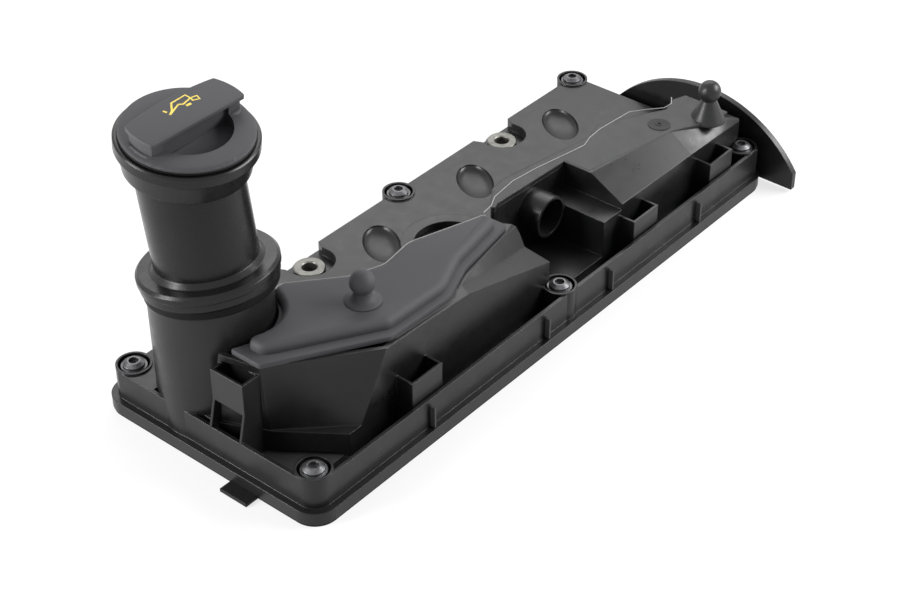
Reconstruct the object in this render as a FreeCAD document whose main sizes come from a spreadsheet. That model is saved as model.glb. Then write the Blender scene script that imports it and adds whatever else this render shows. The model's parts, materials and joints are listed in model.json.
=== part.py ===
"""Cylinder head cover of a four-cylinder engine, with its filler neck, oil separator and bolts.

Millimetres, +X along the cover from the filler end to the timing end, +Y from the open
front side to the back, +Z up. While the cover is built, the near front corner of its flange
is the zero point and the gasket's underside is z = 0. At the end every sub-part moves by
the same amount, so that the centre of the whole cover's underside becomes the zero point.
"""
import FreeCAD, Part
import math
import os
import re
import Sketcher
from FreeCAD import Placement, Rotation, Vector

os.makedirs("parts", exist_ok=True)
doc = FreeCAD.newDocument("valve_cover")
sheet = doc.addObject("Spreadsheet::Sheet", "Size")
nodes = []

SIZES = {
    # Flange, fence and deck
    "base_length": 417,  # flange along X
    "base_width": 160,  # flange along Y
    "corner_round": 14,  # flange corner radius
    "rubber_below": 2.0,  # height of the flange's underside above the gasket's
    "flange_top": 9,  # flange's upper face
    "fence_inset": 4,  # flange edge to the fence
    "fence_wall": 2.2,  # thickness of the fence
    "deck_top": 27,  # deck, and top of the fence
    "deck_back": 12,  # back edge to the deck's back wall
    "deck_end": 8,  # far edge to the deck's end wall
    "moat_floor": 12,  # floor of the channel behind the fence
    "wall_thick": 3,  # wall of the moulding
    "front_wall": 18,  # front wall of both separator chambers
    "cam_back": 15,  # back edge to the inner face of the back wall
    "cam_near": 12,  # inner face of the near wall
    "cam_far": 12,  # far edge to the inner face of the far wall
    "cam_roof": 14,  # low ceiling beside the chambers

    # Bolts and their bosses
    "bolt_inset": 14,  # flange edges to the near bolts
    "bolt_end": 12,  # far edge to the far bolts
    "bolt_front_x": 216,  # middle bolt of the front side
    "bolt_front_y": 13,
    "bolt_deck_x": 230,  # middle bolt of the back side
    "bolt_deck_y": 14,  # back edge to that bolt
    "boss_radius": 10,  # outside of a bolt boss
    "boss_top": 28,  # rim of a bolt boss
    "well_radius": 8.7,  # well around a bolt head
    "well_floor": 14,  # floor of a well
    "spacer_fit": 0.4,  # clearance round a spacer
    "spacer_outer": 4.6,  # outside radius of a spacer
    "spacer_wall": 1.3,  # wall of a spacer
    "spacer_bottom": 0.8,  # spacer's lower end
    "spacer_top": 20,  # spacer's upper end
    "bolt_radius": 3.0,  # M6 shank
    "bolt_tip": 0.3,  # bolt's lower end
    "grommet_top": 18.5,  # upper face of a grommet
    "grommet_fit": 0.3,  # clearance of a grommet in its well
    "washer_radius": 7.2,  # washer face under a bolt head
    "washer_thick": 1.2,  # washer face under a bolt head
    "head_seat": 25.6,  # washer face, with the bolts pushed up
    "head_radius": 6.0,  # bolt head
    "head_height": 4.2,  # bolt head above its washer face
    "drive_radius": 2.7,  # socket in a bolt head
    "drive_depth": 2.4,  # socket in a bolt head

    # Sleeves for the two screws that pass the deck
    "sleeve_x": 143.5,  # first sleeve
    "sleeve_y": 21,  # back edge to the sleeves
    "sleeve_pitch": 178,  # distance between the sleeves
    "sleeve_rim": 9.4,  # radius of a sleeve's rim
    "sleeve_barrel": 7.2,  # radius of a sleeve's barrel
    "sleeve_bore": 4.5,  # radius of a sleeve's bore
    "sleeve_lip": 2.0,  # rim above the shelf
    "sleeve_fit": 0.1,  # clearance of a barrel in its column
    "column_wall": 3.2,  # wall of a sleeve's column
    "shelf_top": 21,  # shelf around a sleeve
    "shelf_half": 15,  # half width of a shelf beside its sleeve
    "shelf_mouth": 23,  # half width of a shelf at the back edge

    # Dips in the deck
    "dip_x": 183,  # first dip
    "dip_y": 42,  # back edge to the dips
    "dip_pitch": 86,  # distance between the dips
    "dip_long": 19,  # half length of a dip
    "dip_wide": 11,  # half width of a dip
    "dip_depth": 5,  # depth of a dip
    "dip_turn": 52,  # degrees, long way of a dip from +X

    # Lids: their plane falls towards the far end
    "lid_near": 71,  # upper face of the lid flange at x = 0
    "lid_far": 52,  # upper face of the lid flange at the far end
    "lid_thick": 3,  # flange of a lid
    "lid_rise": 6,  # raised middle of the near lid
    "lid_border": 4.2,  # flange around the raised middle
    "lid_lap": 0.8,  # lid flange beyond the wall

    # Near separator chamber: foot outline, then top outline
    "foot_back_x": 8.5,  # near wall, back end of the foot
    "foot_back_y": 122,
    "foot_pocket_x": 8.5,  # near wall, foot at the side pocket
    "foot_pocket_y": 78,
    "foot_corner_x": 22,  # near wall, front end of the foot
    "foot_corner_y": 50,
    "foot_front_x": 45,  # start of the front wall's foot
    "foot_front_y": 18,
    "top_back_x": 16,  # near wall, back end of the top edge
    "top_back_y": 110,
    "top_pocket_x": 16,  # near wall, top edge at the side pocket
    "top_pocket_y": 78,
    "top_corner_x": 20.4,  # near corner of the lid
    "top_corner_y": 55.3,
    "top_front_x": 80,  # start of the front wall at the lid
    "top_front_y": 20,
    "chamber_end": 213,  # near chamber's far wall
    "shoulder_start": 110,  # start of the sloping shoulder
    "shoulder_near": 69.5,  # front edge's height where the shoulder starts
    "shoulder_far": 41.5,  # front edge's height at the far wall
    "shoulder_shelf": 36,  # inner edge of the low shelf at the far wall

    # Near lid's outline beyond the corner and the front wall's start
    "lid_bend_x": 120,  # front edge
    "lid_bend_y": 27,
    "lid_sweep_x": 168,  # front edge
    "lid_sweep_y": 38,
    "lid_tail_x": 205,  # front edge, far end
    "lid_tail_y": 46,
    "lid_heel_x": 204,  # back edge, far end
    "lid_heel_y": 55,
    "lid_flank_x": 190,  # back edge
    "lid_flank_y": 61.5,
    "lid_saddle_x": 147,  # back edge
    "lid_saddle_y": 72,
    "lid_dip_x": 124,  # back edge
    "lid_dip_y": 68.5,
    "lid_nook_x": 102,  # back edge
    "lid_nook_y": 75,
    "lid_shoulder_x": 76,  # back edge beside the neck
    "lid_shoulder_y": 95,

    # Far separator chamber
    "far_low_x": 264.6,  # near front corner, low ledge
    "far_low_y": 18,
    "far_ledge": 42,  # low ledge's height
    "far_start": 282,  # upper part's near wall
    "far_stop": 10,  # far edge to the end wall
    "slope_start": 46,  # front slope's foot at the near wall
    "slope_stop": 43.5,  # front slope's foot at the end wall
    "slope_top_x": 283,  # front slope's upper edge at the near wall
    "slope_top_y": 43,
    "slope_mid_x": 63,  # far edge to the front slope's upper edge, middle
    "slope_mid_y": 34,
    "slope_end_x": 33,  # far edge to the front slope's upper edge at the ball stud
    "slope_end_y": 22,
    "end_drop": 45,  # height of the end wall
    "duct_x": 205,  # front face of the duct between the chambers
    "duct_y": 61,
    "duct_back": 75,  # back face of the duct
    "far_back_x": 281,  # back wall, near end
    "far_back_y": 71,
    "far_nook_x": 314,  # back wall, nook
    "far_nook_y": 67,
    "far_swell_x": 332,  # back wall, swell
    "far_swell_y": 72,
    "far_waist_x": 42,  # far edge to the back wall, waist
    "far_waist_y": 52,
    "far_bump_x": 29,  # far edge to the back wall, bump at the end
    "far_bump_y": 56,
    "far_tip_x": 19,  # far edge to the back wall at the end wall
    "far_tip_y": 53,

    # Recess between the chambers, with the outlet pipe
    "recess_floor": 18,  # floor of the recess
    "pipe_x": 251,  # outlet pipe: along X, and up
    "pipe_y": 41,
    "pipe_radius": 12.9,  # outlet pipe outside
    "pipe_wall": 1.9,  # outlet pipe's wall
    "pipe_mouth": 46,  # mouth of the outlet pipe

    # Pressure regulator
    "turret_x": 190,  # pressure regulator
    "turret_y": 72,
    "turret_radius": 28,  # outside of the turret
    "turret_top": 45,  # top of the turret
    "turret_rim": 7.5,  # width of the turret's rim
    "turret_depth": 9,  # depth of the turret
    "disc_fit": 0.4,  # clearance of the regulator's cap
    "disc_thick": 3,  # regulator's cap
    "membrane_thick": 1.6,  # regulator's membrane

    # Ball studs
    "stud_near_x": 89.7,  # stud on the near lid
    "stud_near_y": 46.8,
    "stud_far_x": 32.6,  # far edge to the stud on the far lid
    "stud_far_y": 27.5,
    "ball_radius": 7,  # ball of a stud
    "stud_neck": 4.2,  # waist below a ball
    "stud_foot": 11,  # flared foot of a stud
    "stud_height": 18,  # ball centre above the lid

    # Open pockets on the walls
    "pocket_wall": 1.5,  # wall of an open pocket
    "pocket_length": 24,  # pocket along X
    "pocket_depth": 12,  # pocket along Y
    "pocket_front": 7,  # front face of the pockets on the long side
    "pocket_high": 42,  # top of the pocket on the near chamber
    "pocket_low": 39,  # top of the pockets on the far chamber
    "pocket_one": 82,  # first pocket
    "pocket_two": 279.5,  # second pocket
    "pocket_three": 58,  # far edge to the third pocket
    "side_pocket_start": 55,  # pocket on the near wall
    "side_pocket_end": 78,  # pocket on the near wall
    "side_pocket_face": 8,  # outer face of the pocket on the near wall
    "side_pocket_top": 62.5,  # top of the pocket on the near wall
    "side_pocket_floor": 43,  # underside of the pocket on the near wall

    # Socket for the filler neck
    "socket_x": 36.3,  # socket
    "socket_y": 104,
    "socket_radius": 33,  # outside of the socket
    "socket_bore": 26.8,  # leaning bore of the socket
    "socket_throat": 23.5,  # upright bore below the socket
    "lid_gap": 0.8,  # near lid to the socket
    "spigot_fit": 0.3,  # clearance of the neck in the socket

    # Filler neck, along its own axis from the lower flange
    "neck_height": 98,  # height of the lower flange's underside at the axis
    "neck_y": 103.5,  # axis at the lower flange
    "neck_lean": 8,  # degrees towards the back
    "neck_bend": 60,  # from the lower flange to the bend
    "neck_radius": 27.5,  # tube outside
    "neck_wall": 3,  # tube's wall
    "spigot_length": 26,  # tube below the lower flange
    "flange_radius": 37.5,  # lower flange
    "flange_thick": 4.5,  # lower flange
    "tier_radius": 36.5,  # tier below the lower flange
    "tier_thick": 4.5,  # tier below the lower flange
    "seal_thick": 5.5,  # sealing ring below the tier
    "seal_radius": 35.5,  # sealing ring

    # Filler mouth, along its own axis from the bend
    "mouth_lean": 7.5,  # degrees towards the front
    "mouth_height": 18.6,  # from the bend to the mouth
    "mouth_radius": 36.4,  # rim of the mouth
    "mouth_rim": 6,  # thickness of the rim
    "collar_radius": 34.2,  # collar below the rim
    "collar_foot": 32.5,  # lower end of the collar
    "collar_height": 18,  # mouth to the collar's lower end
    "catch_radius": 28,  # undercut behind the ledge for the cap's lugs
    "catch_depth": 6,  # ledge above the undercut
    "catch_height": 6,  # undercut
    "lug_width": 12,  # lugs of the cap
    "lug_root": 22.5,  # inner end of a lug, in the plug's wall
    "lug_reach": 26.8,  # outer end of a lug
    "lug_fit": 0.4,  # clearance of the lugs

    # Filler cap
    "cap_radius": 33.9,  # cap's disc
    "cap_thick": 2.8,  # cap's disc
    "cap_seal_thick": 1.6,  # flat ring under the disc
    "cap_seal_width": 6,  # flat ring under the disc
    "plug_fit": 0.5,  # clearance of the plug in the mouth
    "plug_wall": 2.5,  # wall of the plug
    "grip_radius": 32,  # rounded ends of the grip
    "grip_width": 21,  # grip along Y
    "grip_height": 9,  # grip above the disc
    "grip_lip": 3.2,  # lip over the finger recesses
    "grip_web": 9,  # web between the finger recesses
    "finger_radius": 20,  # finger recesses
    "finger_depth": 6,  # finger recesses in the disc
    "cap_skin": 2.5,  # floor under the finger recesses

    # Gasket
    "groove_outer": 2.2,  # flange edge to the groove
    "groove_inner": 6.2,  # flange edge to the groove's inner side
    "groove_depth": 4,  # groove in the flange
    "groove_fit": 0.2,  # clearance of the gasket's bead in the groove
    "gasket_outer": 0.6,  # flange edge to the gasket
    "gasket_inner": 7.4,  # flange edge to the gasket's inner side
    "tab_start": 42.2,  # gasket's tab
    "tab_end": 61.1,  # gasket's tab
    "tab_reach": 8.1,  # gasket's tab beyond the flange

    # Belt shield
    "shield_thick": 4,  # shield along X
    "shield_x": 52,  # centre of the shield's arc: along Y, and up
    "shield_y": -35,
    "shield_radius": 85,  # shield's outer arc
    "shield_back": 118,  # shield's back end
    "shield_front": -18,  # shield's front end
    "shield_foot": 2,  # shield's lower edge on the flange

    # Baffles below the chambers
    "baffle_thick": 2,  # baffle plate
    "baffle_fit": 0.4,  # clearance of a baffle plate
}

for row, (name, value) in enumerate(SIZES.items(), start=1):
    sheet.set("A%d" % row, name)
    sheet.set("B%d" % row, str(value))
    sheet.setAlias("B%d" % row, name)
doc.recompute()


def linked(text):
    """Write an expression with the sheet's name before each of its sizes."""
    return re.sub(r"\b([a-z]+(?:_[a-z]+)+)\b", r"Size.\1", str(text))


def number(text):
    """Work out an expression of sizes."""
    result = sheet.evalExpression(linked(text))
    return float(getattr(result, "Value", result))


def corner(item):
    """Give the two coordinates and the rounding of a corner as expressions."""
    if isinstance(item, str):
        return item + "_x", item + "_y", None
    if len(item) == 2 and isinstance(item[1], float):
        return item[0] + "_x", item[0] + "_y", str(item[1])
    if len(item) == 2:
        return str(item[0]), str(item[1]), None
    return str(item[0]), str(item[1]), str(item[2])


def from_end(name):
    """Give a corner whose first coordinate counts back from the flange's far edge."""
    return "base_length - %s_x" % name, "%s_y" % name


def pin(sketch, part, point, across, along):
    """Hold one point of a sketch at two expressions."""
    for kind, text, axis in (("DistanceX", across, -2), ("DistanceY", along, -1)):
        if text == "0":
            sketch.addConstraint(Sketcher.Constraint("PointOnObject", part, point, axis))
            continue
        index = sketch.addConstraint(Sketcher.Constraint(kind, -1, 1, part, point, number(text)))
        sketch.setExpression("Constraints[%d]" % index, linked(text))


def polygon(sketch, corners):
    """Draw a closed outline with sharp or rounded corners, every corner bound to sizes."""
    terms = [corner(item) for item in corners]
    spots = [Vector(number(term[0]), number(term[1]), 0) for term in terms]
    count = len(spots)
    leaving = []
    arriving = []
    arcs = []
    for index, spot in enumerate(spots):
        before = (spots[index - 1] - spot).normalize()
        after = (spots[(index + 1) % count] - spot).normalize()
        if terms[index][2] is None:
            arriving.append(spot)
            leaving.append(spot)
            arcs.append(None)
            continue
        radius = number(terms[index][2])
        half = before.getAngle(after) / 2
        reach = radius / math.tan(half)
        middle = spot + (before + after).normalize() * (radius / math.sin(half))
        first = spot + before * reach
        last = spot + after * reach
        arriving.append(first)
        leaving.append(last)
        left_turn = before.cross(after).z < 0
        start, stop = (first, last) if left_turn else (last, first)
        angles = [math.atan2(end.y - middle.y, end.x - middle.x) for end in (start, stop)]
        circle = Part.Circle(middle, Vector(0, 0, 1), radius)
        arcs.append((Part.ArcOfCircle(circle, angles[0], angles[1]), left_turn))
    lines = []
    for index in range(count):
        segment = Part.LineSegment(leaving[index], arriving[(index + 1) % count])
        lines.append(sketch.addGeometry(segment, False))
    for index in range(count):
        before = lines[index - 1]
        after = lines[index]
        across, along, radius = terms[index]
        if arcs[index] is None:
            sketch.addConstraint(Sketcher.Constraint("Coincident", before, 2, after, 1))
            pin(sketch, after, 1, across, along)
            continue
        arc, left_turn = arcs[index]
        bend = sketch.addGeometry(arc, False)
        first, last = (1, 2) if left_turn else (2, 1)
        sketch.addConstraint(Sketcher.Constraint("Tangent", before, 2, bend, first))
        sketch.addConstraint(Sketcher.Constraint("Tangent", bend, last, after, 1))
        held = sketch.addConstraint(Sketcher.Constraint("Radius", bend, number(radius)))
        sketch.setExpression("Constraints[%d]" % held, linked(radius))
        tip = sketch.addGeometry(Part.Point(spots[index]), True)
        sketch.addConstraint(Sketcher.Constraint("PointOnObject", tip, 1, before))
        sketch.addConstraint(Sketcher.Constraint("PointOnObject", tip, 1, after))
        pin(sketch, tip, 1, across, along)


def ring(sketch, across, along, radius):
    """Draw a circle bound to sizes."""
    middle = Vector(number(across), number(along), 0)
    shape = sketch.addGeometry(Part.Circle(middle, Vector(0, 0, 1), number(radius)), False)
    held = sketch.addConstraint(Sketcher.Constraint("Radius", shape, number(radius)))
    sketch.setExpression("Constraints[%d]" % held, linked(radius))
    pin(sketch, shape, 3, str(across), str(along))


# Sketches are drawn from above in X and Y, from the front in X and Z, from the end in Y and Z
TURN = {
    "top": Rotation(),
    "front": Rotation(Vector(1, 0, 0), 90),
    "end": Rotation(Vector(1, 1, 1), 120),
}
WAY = {"top": Vector(0, 0, 1), "front": Vector(0, 1, 0), "end": Vector(1, 0, 0)}
AXIS = {"top": "z", "front": "y", "end": "x"}


def drawing(name, corners, level, side="top"):
    """Draw an outline on a plane at a level."""
    sketch = doc.addObject("Sketcher::SketchObject", name + "_outline")
    sketch.Placement = Placement(WAY[side] * number(level), TURN[side])
    sketch.setExpression("Placement.Base." + AXIS[side], linked(level))
    polygon(sketch, corners)
    return sketch


def prism(name, corners, start, stop, side="top"):
    """Extrude an outline from one level to another."""
    sketch = drawing(name, corners, start, side)
    solid = doc.addObject("Part::Extrusion", name)
    solid.Base = sketch
    solid.DirMode = "Custom"
    solid.Dir = WAY[side]
    solid.Solid = True
    solid.setExpression("LengthFwd", linked("(%s) - (%s)" % (stop, start)))
    return solid


def slab(name, left, right, front, back, bottom, top):
    """Make a box between three pairs of levels."""
    solid = doc.addObject("Part::Box", name)
    solid.setExpression("Length", linked("(%s) - (%s)" % (right, left)))
    solid.setExpression("Width", linked("(%s) - (%s)" % (back, front)))
    solid.setExpression("Height", linked("(%s) - (%s)" % (top, bottom)))
    solid.setExpression("Placement.Base.x", linked(left))
    solid.setExpression("Placement.Base.y", linked(front))
    solid.setExpression("Placement.Base.z", linked(bottom))
    return solid


def drum(name, across, along, radius, bottom, top):
    """Make an upright cylinder."""
    solid = doc.addObject("Part::Cylinder", name)
    solid.setExpression("Radius", linked(radius))
    solid.setExpression("Height", linked("(%s) - (%s)" % (top, bottom)))
    solid.setExpression("Placement.Base.x", linked(across))
    solid.setExpression("Placement.Base.y", linked(along))
    solid.setExpression("Placement.Base.z", linked(bottom))
    return solid


def bar(name, across, upward, radius, front, back):
    """Make a cylinder that lies along Y."""
    solid = doc.addObject("Part::Cylinder", name)
    solid.Placement = Placement(Vector(), Rotation(Vector(1, 0, 0), -90))
    solid.setExpression("Radius", linked(radius))
    solid.setExpression("Height", linked("(%s) - (%s)" % (back, front)))
    solid.setExpression("Placement.Base.x", linked(across))
    solid.setExpression("Placement.Base.y", linked(front))
    solid.setExpression("Placement.Base.z", linked(upward))
    return solid


def loft(name, *sections):
    """Join outlines with straight rulings."""
    solid = doc.addObject("Part::Loft", name)
    solid.Sections = list(sections)
    solid.Solid = True
    solid.Ruled = True
    return solid


def inset(name, sketch, amount):
    """Offset an outline to its inside."""
    inner = doc.addObject("Part::Offset2D", name)
    inner.Source = sketch
    inner.Join = "Intersection"
    inner.Fill = False
    inner.setExpression("Value", linked("0 - (%s)" % amount))
    return inner


def fuse(name, *solids):
    """Join solids into one."""
    joined = doc.addObject("Part::MultiFuse", name)
    joined.Shapes = list(solids)
    joined.Refine = True
    return joined


def cut(name, base, *tools):
    """Take solids away from a base."""
    tool = tools[0] if len(tools) == 1 else fuse(name + "_tools", *tools)
    left = doc.addObject("Part::Cut", name)
    left.Base = base
    left.Tool = tool
    left.Refine = True
    return left


def common(name, *solids):
    """Keep what two solids share."""
    shared = doc.addObject("Part::MultiCommon", name)
    shared.Shapes = list(solids)
    return shared


def keep(item, label):
    """Make an object a sub-part under its own name."""
    item.Label = label
    nodes.append(item)
    return item


def body_sketch(body, name, role, corners=(), rings=(), level="0"):
    """Draw outlines on one of a body's own planes."""
    plane = [item for item in body.Origin.OriginFeatures if item.Role == role][0]
    sketch = body.newObject("Sketcher::SketchObject", name)
    sketch.AttachmentSupport = (plane, [""])
    sketch.MapMode = "FlatFace"
    if level != "0":
        sketch.setExpression("AttachmentOffset.Base.z", linked(level))
    if corners:
        polygon(sketch, corners)
    for item in rings:
        ring(sketch, *item)
    return sketch


def pad(body, name, sketch, length):
    """Raise a body's sketch."""
    feature = body.newObject("PartDesign::Pad", name)
    feature.Profile = sketch
    feature.setExpression("Length", linked(length))
    return feature


def pocket(body, name, sketch, length, upward=False):
    """Sink a body's sketch."""
    feature = body.newObject("PartDesign::Pocket", name)
    feature.Profile = sketch
    feature.Reversed = upward
    feature.setExpression("Length", linked(length))
    return feature


def turned(label, corners):
    """Make a body by turning a half outline, drawn in radius and height, about its axis."""
    body = doc.addObject("PartDesign::Body", label)
    body.Label = label
    sketch = body_sketch(body, label + "_half", "XZ_Plane", corners)
    feature = body.newObject("PartDesign::Revolution", label + "_turn")
    feature.Profile = sketch
    feature.ReferenceAxis = (sketch, ["V_Axis"])
    feature.Angle = 360
    return body


def stand(item, across, along, height, lean="0"):
    """Stand a body at a place, leaning from +Y towards -Y by some degrees."""
    item.Placement = Placement(
        Vector(number(across), number(along), number(height)),
        Rotation(Vector(1, 0, 0), number(lean)),
    )


# Heights of the lid plane over a place along the cover
LID = "(lid_near + (lid_far - lid_near) * (%s) / base_length)"


def lid_level(across, above="0"):
    """Give the height of the lid plane at a place along X."""
    return (LID % across) + " + (" + above + ")"


def lid_band(name, low, high):
    """Fill the slice between two heights over the tilted lid plane, right across the cover."""
    corners = [
        ("0", lid_level("0", low)),
        ("base_length", lid_level("base_length", low)),
        ("base_length", lid_level("base_length", high)),
        ("0", lid_level("0", high)),
    ]
    return prism(name, corners, "0", "base_width", "front")


BOLTS = [
    ("bolt_inset", "bolt_inset"),
    ("bolt_inset", "base_width - bolt_inset"),
    ("bolt_front_x", "bolt_front_y"),
    ("bolt_deck_x", "base_width - bolt_deck_y"),
    ("base_length - bolt_end", "bolt_inset"),
    ("base_length - bolt_end", "base_width - bolt_inset"),
]
SLEEVES = [("sleeve_x", "base_width - sleeve_y"), ("sleeve_x + sleeve_pitch", "base_width - sleeve_y")]


def rectangle(edge, rounding):
    """Give the flange's outline, set in by an amount, with rounded corners."""
    far = "base_length - (%s)" % edge
    back = "base_width - (%s)" % edge
    return [
        (edge, edge, rounding),
        (far, edge, rounding),
        (far, back, rounding),
        (edge, back, rounding),
    ]


# Outer form of the moulding
flange = prism("flange", rectangle("0", "corner_round"), "rubber_below", "flange_top")
block = prism(
    "block",
    [
        ("fence_inset", "fence_inset", "corner_round - fence_inset"),
        ("base_length - deck_end", "fence_inset"),
        ("base_length - deck_end", "base_width - deck_back"),
        ("fence_inset", "base_width - deck_back"),
    ],
    "flange_top",
    "deck_top",
)
moat = prism(
    "moat",
    [
        ("fence_inset + fence_wall", "fence_inset + fence_wall", "corner_round - fence_inset - fence_wall"),
        ("base_length - deck_end - fence_wall", "fence_inset + fence_wall"),
        ("base_length - deck_end - fence_wall", "front_wall"),
        ("foot_front_x", "front_wall"),
        "foot_corner",
        "foot_pocket",
        "foot_back",
        ("fence_inset + fence_wall", "foot_back_y"),
    ],
    "moat_floor",
    "deck_top + 1",
)
recess = slab(
    "recess", "chamber_end", "far_low_x", "fence_inset + fence_wall", "duct_y",
    "recess_floor", "deck_top + 1",
)
shelves = []
for index, (across, along) in enumerate(SLEEVES):
    shelves.append(
        prism(
            "shelf_%d" % index,
            [
                ("%s - shelf_half" % across, "%s - shelf_half" % along, "shelf_half - 1"),
                ("%s + shelf_half" % across, "%s - shelf_half" % along, "shelf_half - 1"),
                ("%s + shelf_half" % across, "%s + 4" % along),
                ("%s + shelf_mouth" % across, "base_width"),
                ("%s - shelf_mouth" % across, "base_width"),
                ("%s - shelf_half" % across, "%s + 4" % along),
            ],
            "shelf_top",
            "deck_top + 1",
        )
    )
base = cut("base", fuse("base_solid", flange, block), moat, recess, *shelves)
chamber_rear = [
    ("chamber_end", "front_wall"),
    ("chamber_end", "shoulder_shelf + 4"),
    "lid_heel",
    "lid_flank",
    "lid_saddle",
    "lid_dip",
    "lid_nook",
    "lid_shoulder",
]
foot = drawing(
    "near_foot",
    ["foot_back", "foot_pocket", "foot_corner", "foot_front"] + chamber_rear,
    "flange_top",
)
crown = drawing(
    "near_crown",
    ["top_back", "top_pocket", "top_corner", ("top_front_x", "front_wall")] + chamber_rear,
    "lid_near + lid_thick",
)
near_mass = loft("near_mass", foot, crown)
near_mass.Ruled = True


def shoulder(name, sink):
    """Shape what the sloping shoulder takes from the near chamber, or from its inside."""
    low = drawing(
        name + "_start",
        [
            ("0", "shoulder_near - 1 - %s" % sink),
            ("front_wall + 2 + %s" % sink, "shoulder_near - %s" % sink),
            ("lid_bend_y - 1 + %s" % sink, "shoulder_near + 0.5 - %s" % sink),
            ("lid_bend_y + %s" % sink, "shoulder_near + 1 - %s" % sink),
            ("lid_bend_y + %s" % sink, "lid_near + 20"),
            ("0", "lid_near + 20"),
        ],
        "shoulder_start",
        "end",
    )
    high = drawing(
        name + "_stop",
        [
            ("0", "shoulder_far - 1 - %s" % sink),
            ("shoulder_shelf + %s" % sink, "shoulder_far + 3.5 - %s" % sink),
            ("shoulder_shelf + 6 + %s" % sink, "shoulder_far + 15.5 - %s" % sink),
            ("lid_tail_y + %s" % sink, lid_level("lid_tail_x", "0 - lid_thick - %s" % sink)),
            ("lid_tail_y + %s" % sink, "lid_near + 20"),
            ("0", "lid_near + 20"),
        ],
        "chamber_end + 0.5",
        "end",
    )
    return loft(name, low, high)


lid_space = lid_band("lid_space", "0 - lid_thick", "60")
near_outer = cut("near_outer", near_mass, shoulder("shoulder_outer", "0"), lid_space)

far_corners = [
    "far_low",
    ("base_length - far_stop", "front_wall"),
    ("base_length - far_stop", "far_tip_y"),
    from_end("far_tip"),
    from_end("far_bump"),
    from_end("far_waist"),
    "far_swell",
    "far_nook",
    "far_back",
    ("far_low_x", "far_back_y"),
]
far_mass = prism("far_mass", far_corners, "flange_top", "lid_near")
wing_corners = [
    ("duct_x", "duct_y - 6", "1.5"),
    ("duct_x + 15", "duct_y"),
    ("far_start + 1", "duct_y"),
    ("far_start + 1", "far_back_y"),
    ("duct_x + 36", "duct_back"),
    ("duct_x + 24", "duct_back - 2", "8"),
]
duct_mass = prism("duct_mass", wing_corners, "flange_top", "lid_near")


def slope(name, sink):
    """Shape what the front slope takes from the far chamber, or from its inside."""
    cuts = []
    for across, edge, height in (
        ("far_low_x - 1", "slope_top_y", "slope_start"),
        ("base_length - slope_mid_x", "slope_mid_y", "slope_stop + (slope_start - slope_stop) / 2"),
        ("base_length - far_stop + 1", "front_wall + 3", "slope_stop"),
    ):
        cuts.append(
            drawing(
                "%s_%d" % (name, len(cuts)),
                [
                    ("0", "%s - 2 - %s" % (height, sink)),
                    ("front_wall + %s" % sink, "%s - %s" % (height, sink)),
                    ("%s + %s" % (edge, sink), lid_level(across, "0 - %s" % sink)),
                    ("%s + %s" % (edge, sink), "lid_near + 20"),
                    ("0", "lid_near + 20"),
                ],
                across,
                "end",
            )
        )
    return loft(name, *cuts)


ledge_space = slab("ledge_space", "far_low_x - 1", "far_start", "0", "duct_y", "far_ledge", "lid_near + 20")
end_space = prism(
    "end_space",
    [
        ("base_length - slope_end_x", lid_level("base_length - slope_end_x")),
        ("base_length - far_stop", "end_drop"),
        ("base_length - far_stop + 5", "end_drop"),
        ("base_length - far_stop + 5", "lid_near"),
        ("base_length - slope_end_x", "lid_near"),
    ],
    "0",
    "base_width",
    "front",
)
far_roof = lid_band("far_roof", "0", "60")
far_lid_corners = [
    ("duct_x", "duct_y - 6", "1.5"),
    ("duct_x + 15", "duct_y"),
    ("slope_top_x", "duct_y"),
    "slope_top",
    from_end("slope_mid"),
    from_end("slope_end"),
    ("base_length - far_tip_x", "slope_end_y"),
    from_end("far_tip"),
    from_end("far_bump"),
    from_end("far_waist"),
    "far_swell",
    "far_nook",
    "far_back",
    ("duct_x + 36", "duct_back"),
    ("duct_x + 24", "duct_back - 2", "8"),
]


def raised(name, source, low, high):
    """Extrude an outline and keep the slice between two heights over the lid plane."""
    solid = doc.addObject("Part::Extrusion", name + "_column")
    solid.Base = source
    solid.DirMode = "Custom"
    solid.Dir = WAY["top"]
    solid.Solid = True
    solid.setExpression("LengthFwd", linked("60 + lid_near - lid_far"))
    return common(name, solid, lid_band(name + "_band", low, high))


far_flange = raised("far_flange", drawing("far_lid", far_lid_corners, "lid_far - 20"), "0 - lid_thick", "0")
far_outer = cut(
    "far_outer",
    fuse("far_solid", far_mass, duct_mass),
    slope("slope_outer", "0"),
    ledge_space,
    end_space,
    far_roof,
    far_flange,
)

# Socket for the filler neck, its rim square to the neck
socket_mass = drum("socket_mass", "socket_x", "socket_y", "socket_radius", "flange_top", "neck_height + 20")
RIM = "(neck_height - (tier_thick + seal_thick) / cos(neck_lean * 1 deg))"
socket_space = prism(
    "socket_space",
    [
        ("0", RIM + " + neck_y * tan(neck_lean * 1 deg)"),
        ("base_width + 10", RIM + " - (base_width + 10 - neck_y) * tan(neck_lean * 1 deg)"),
        ("base_width + 10", "neck_height + 60"),
        ("0", "neck_height + 60"),
    ],
    "0 - 20",
    "socket_x + 60",
    "end",
)
socket_outer = cut("socket_outer", socket_mass, socket_space)

turret_outer = drum("turret_outer", "turret_x", "turret_y", "turret_radius", "flange_top", "turret_top")
pipe_outer = bar("pipe_outer", "pipe_x", "pipe_y", "pipe_radius", "pipe_mouth", "duct_y + wall_thick")
outer = fuse("outer", base, near_outer, far_outer, socket_outer, turret_outer, pipe_outer)

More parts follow.
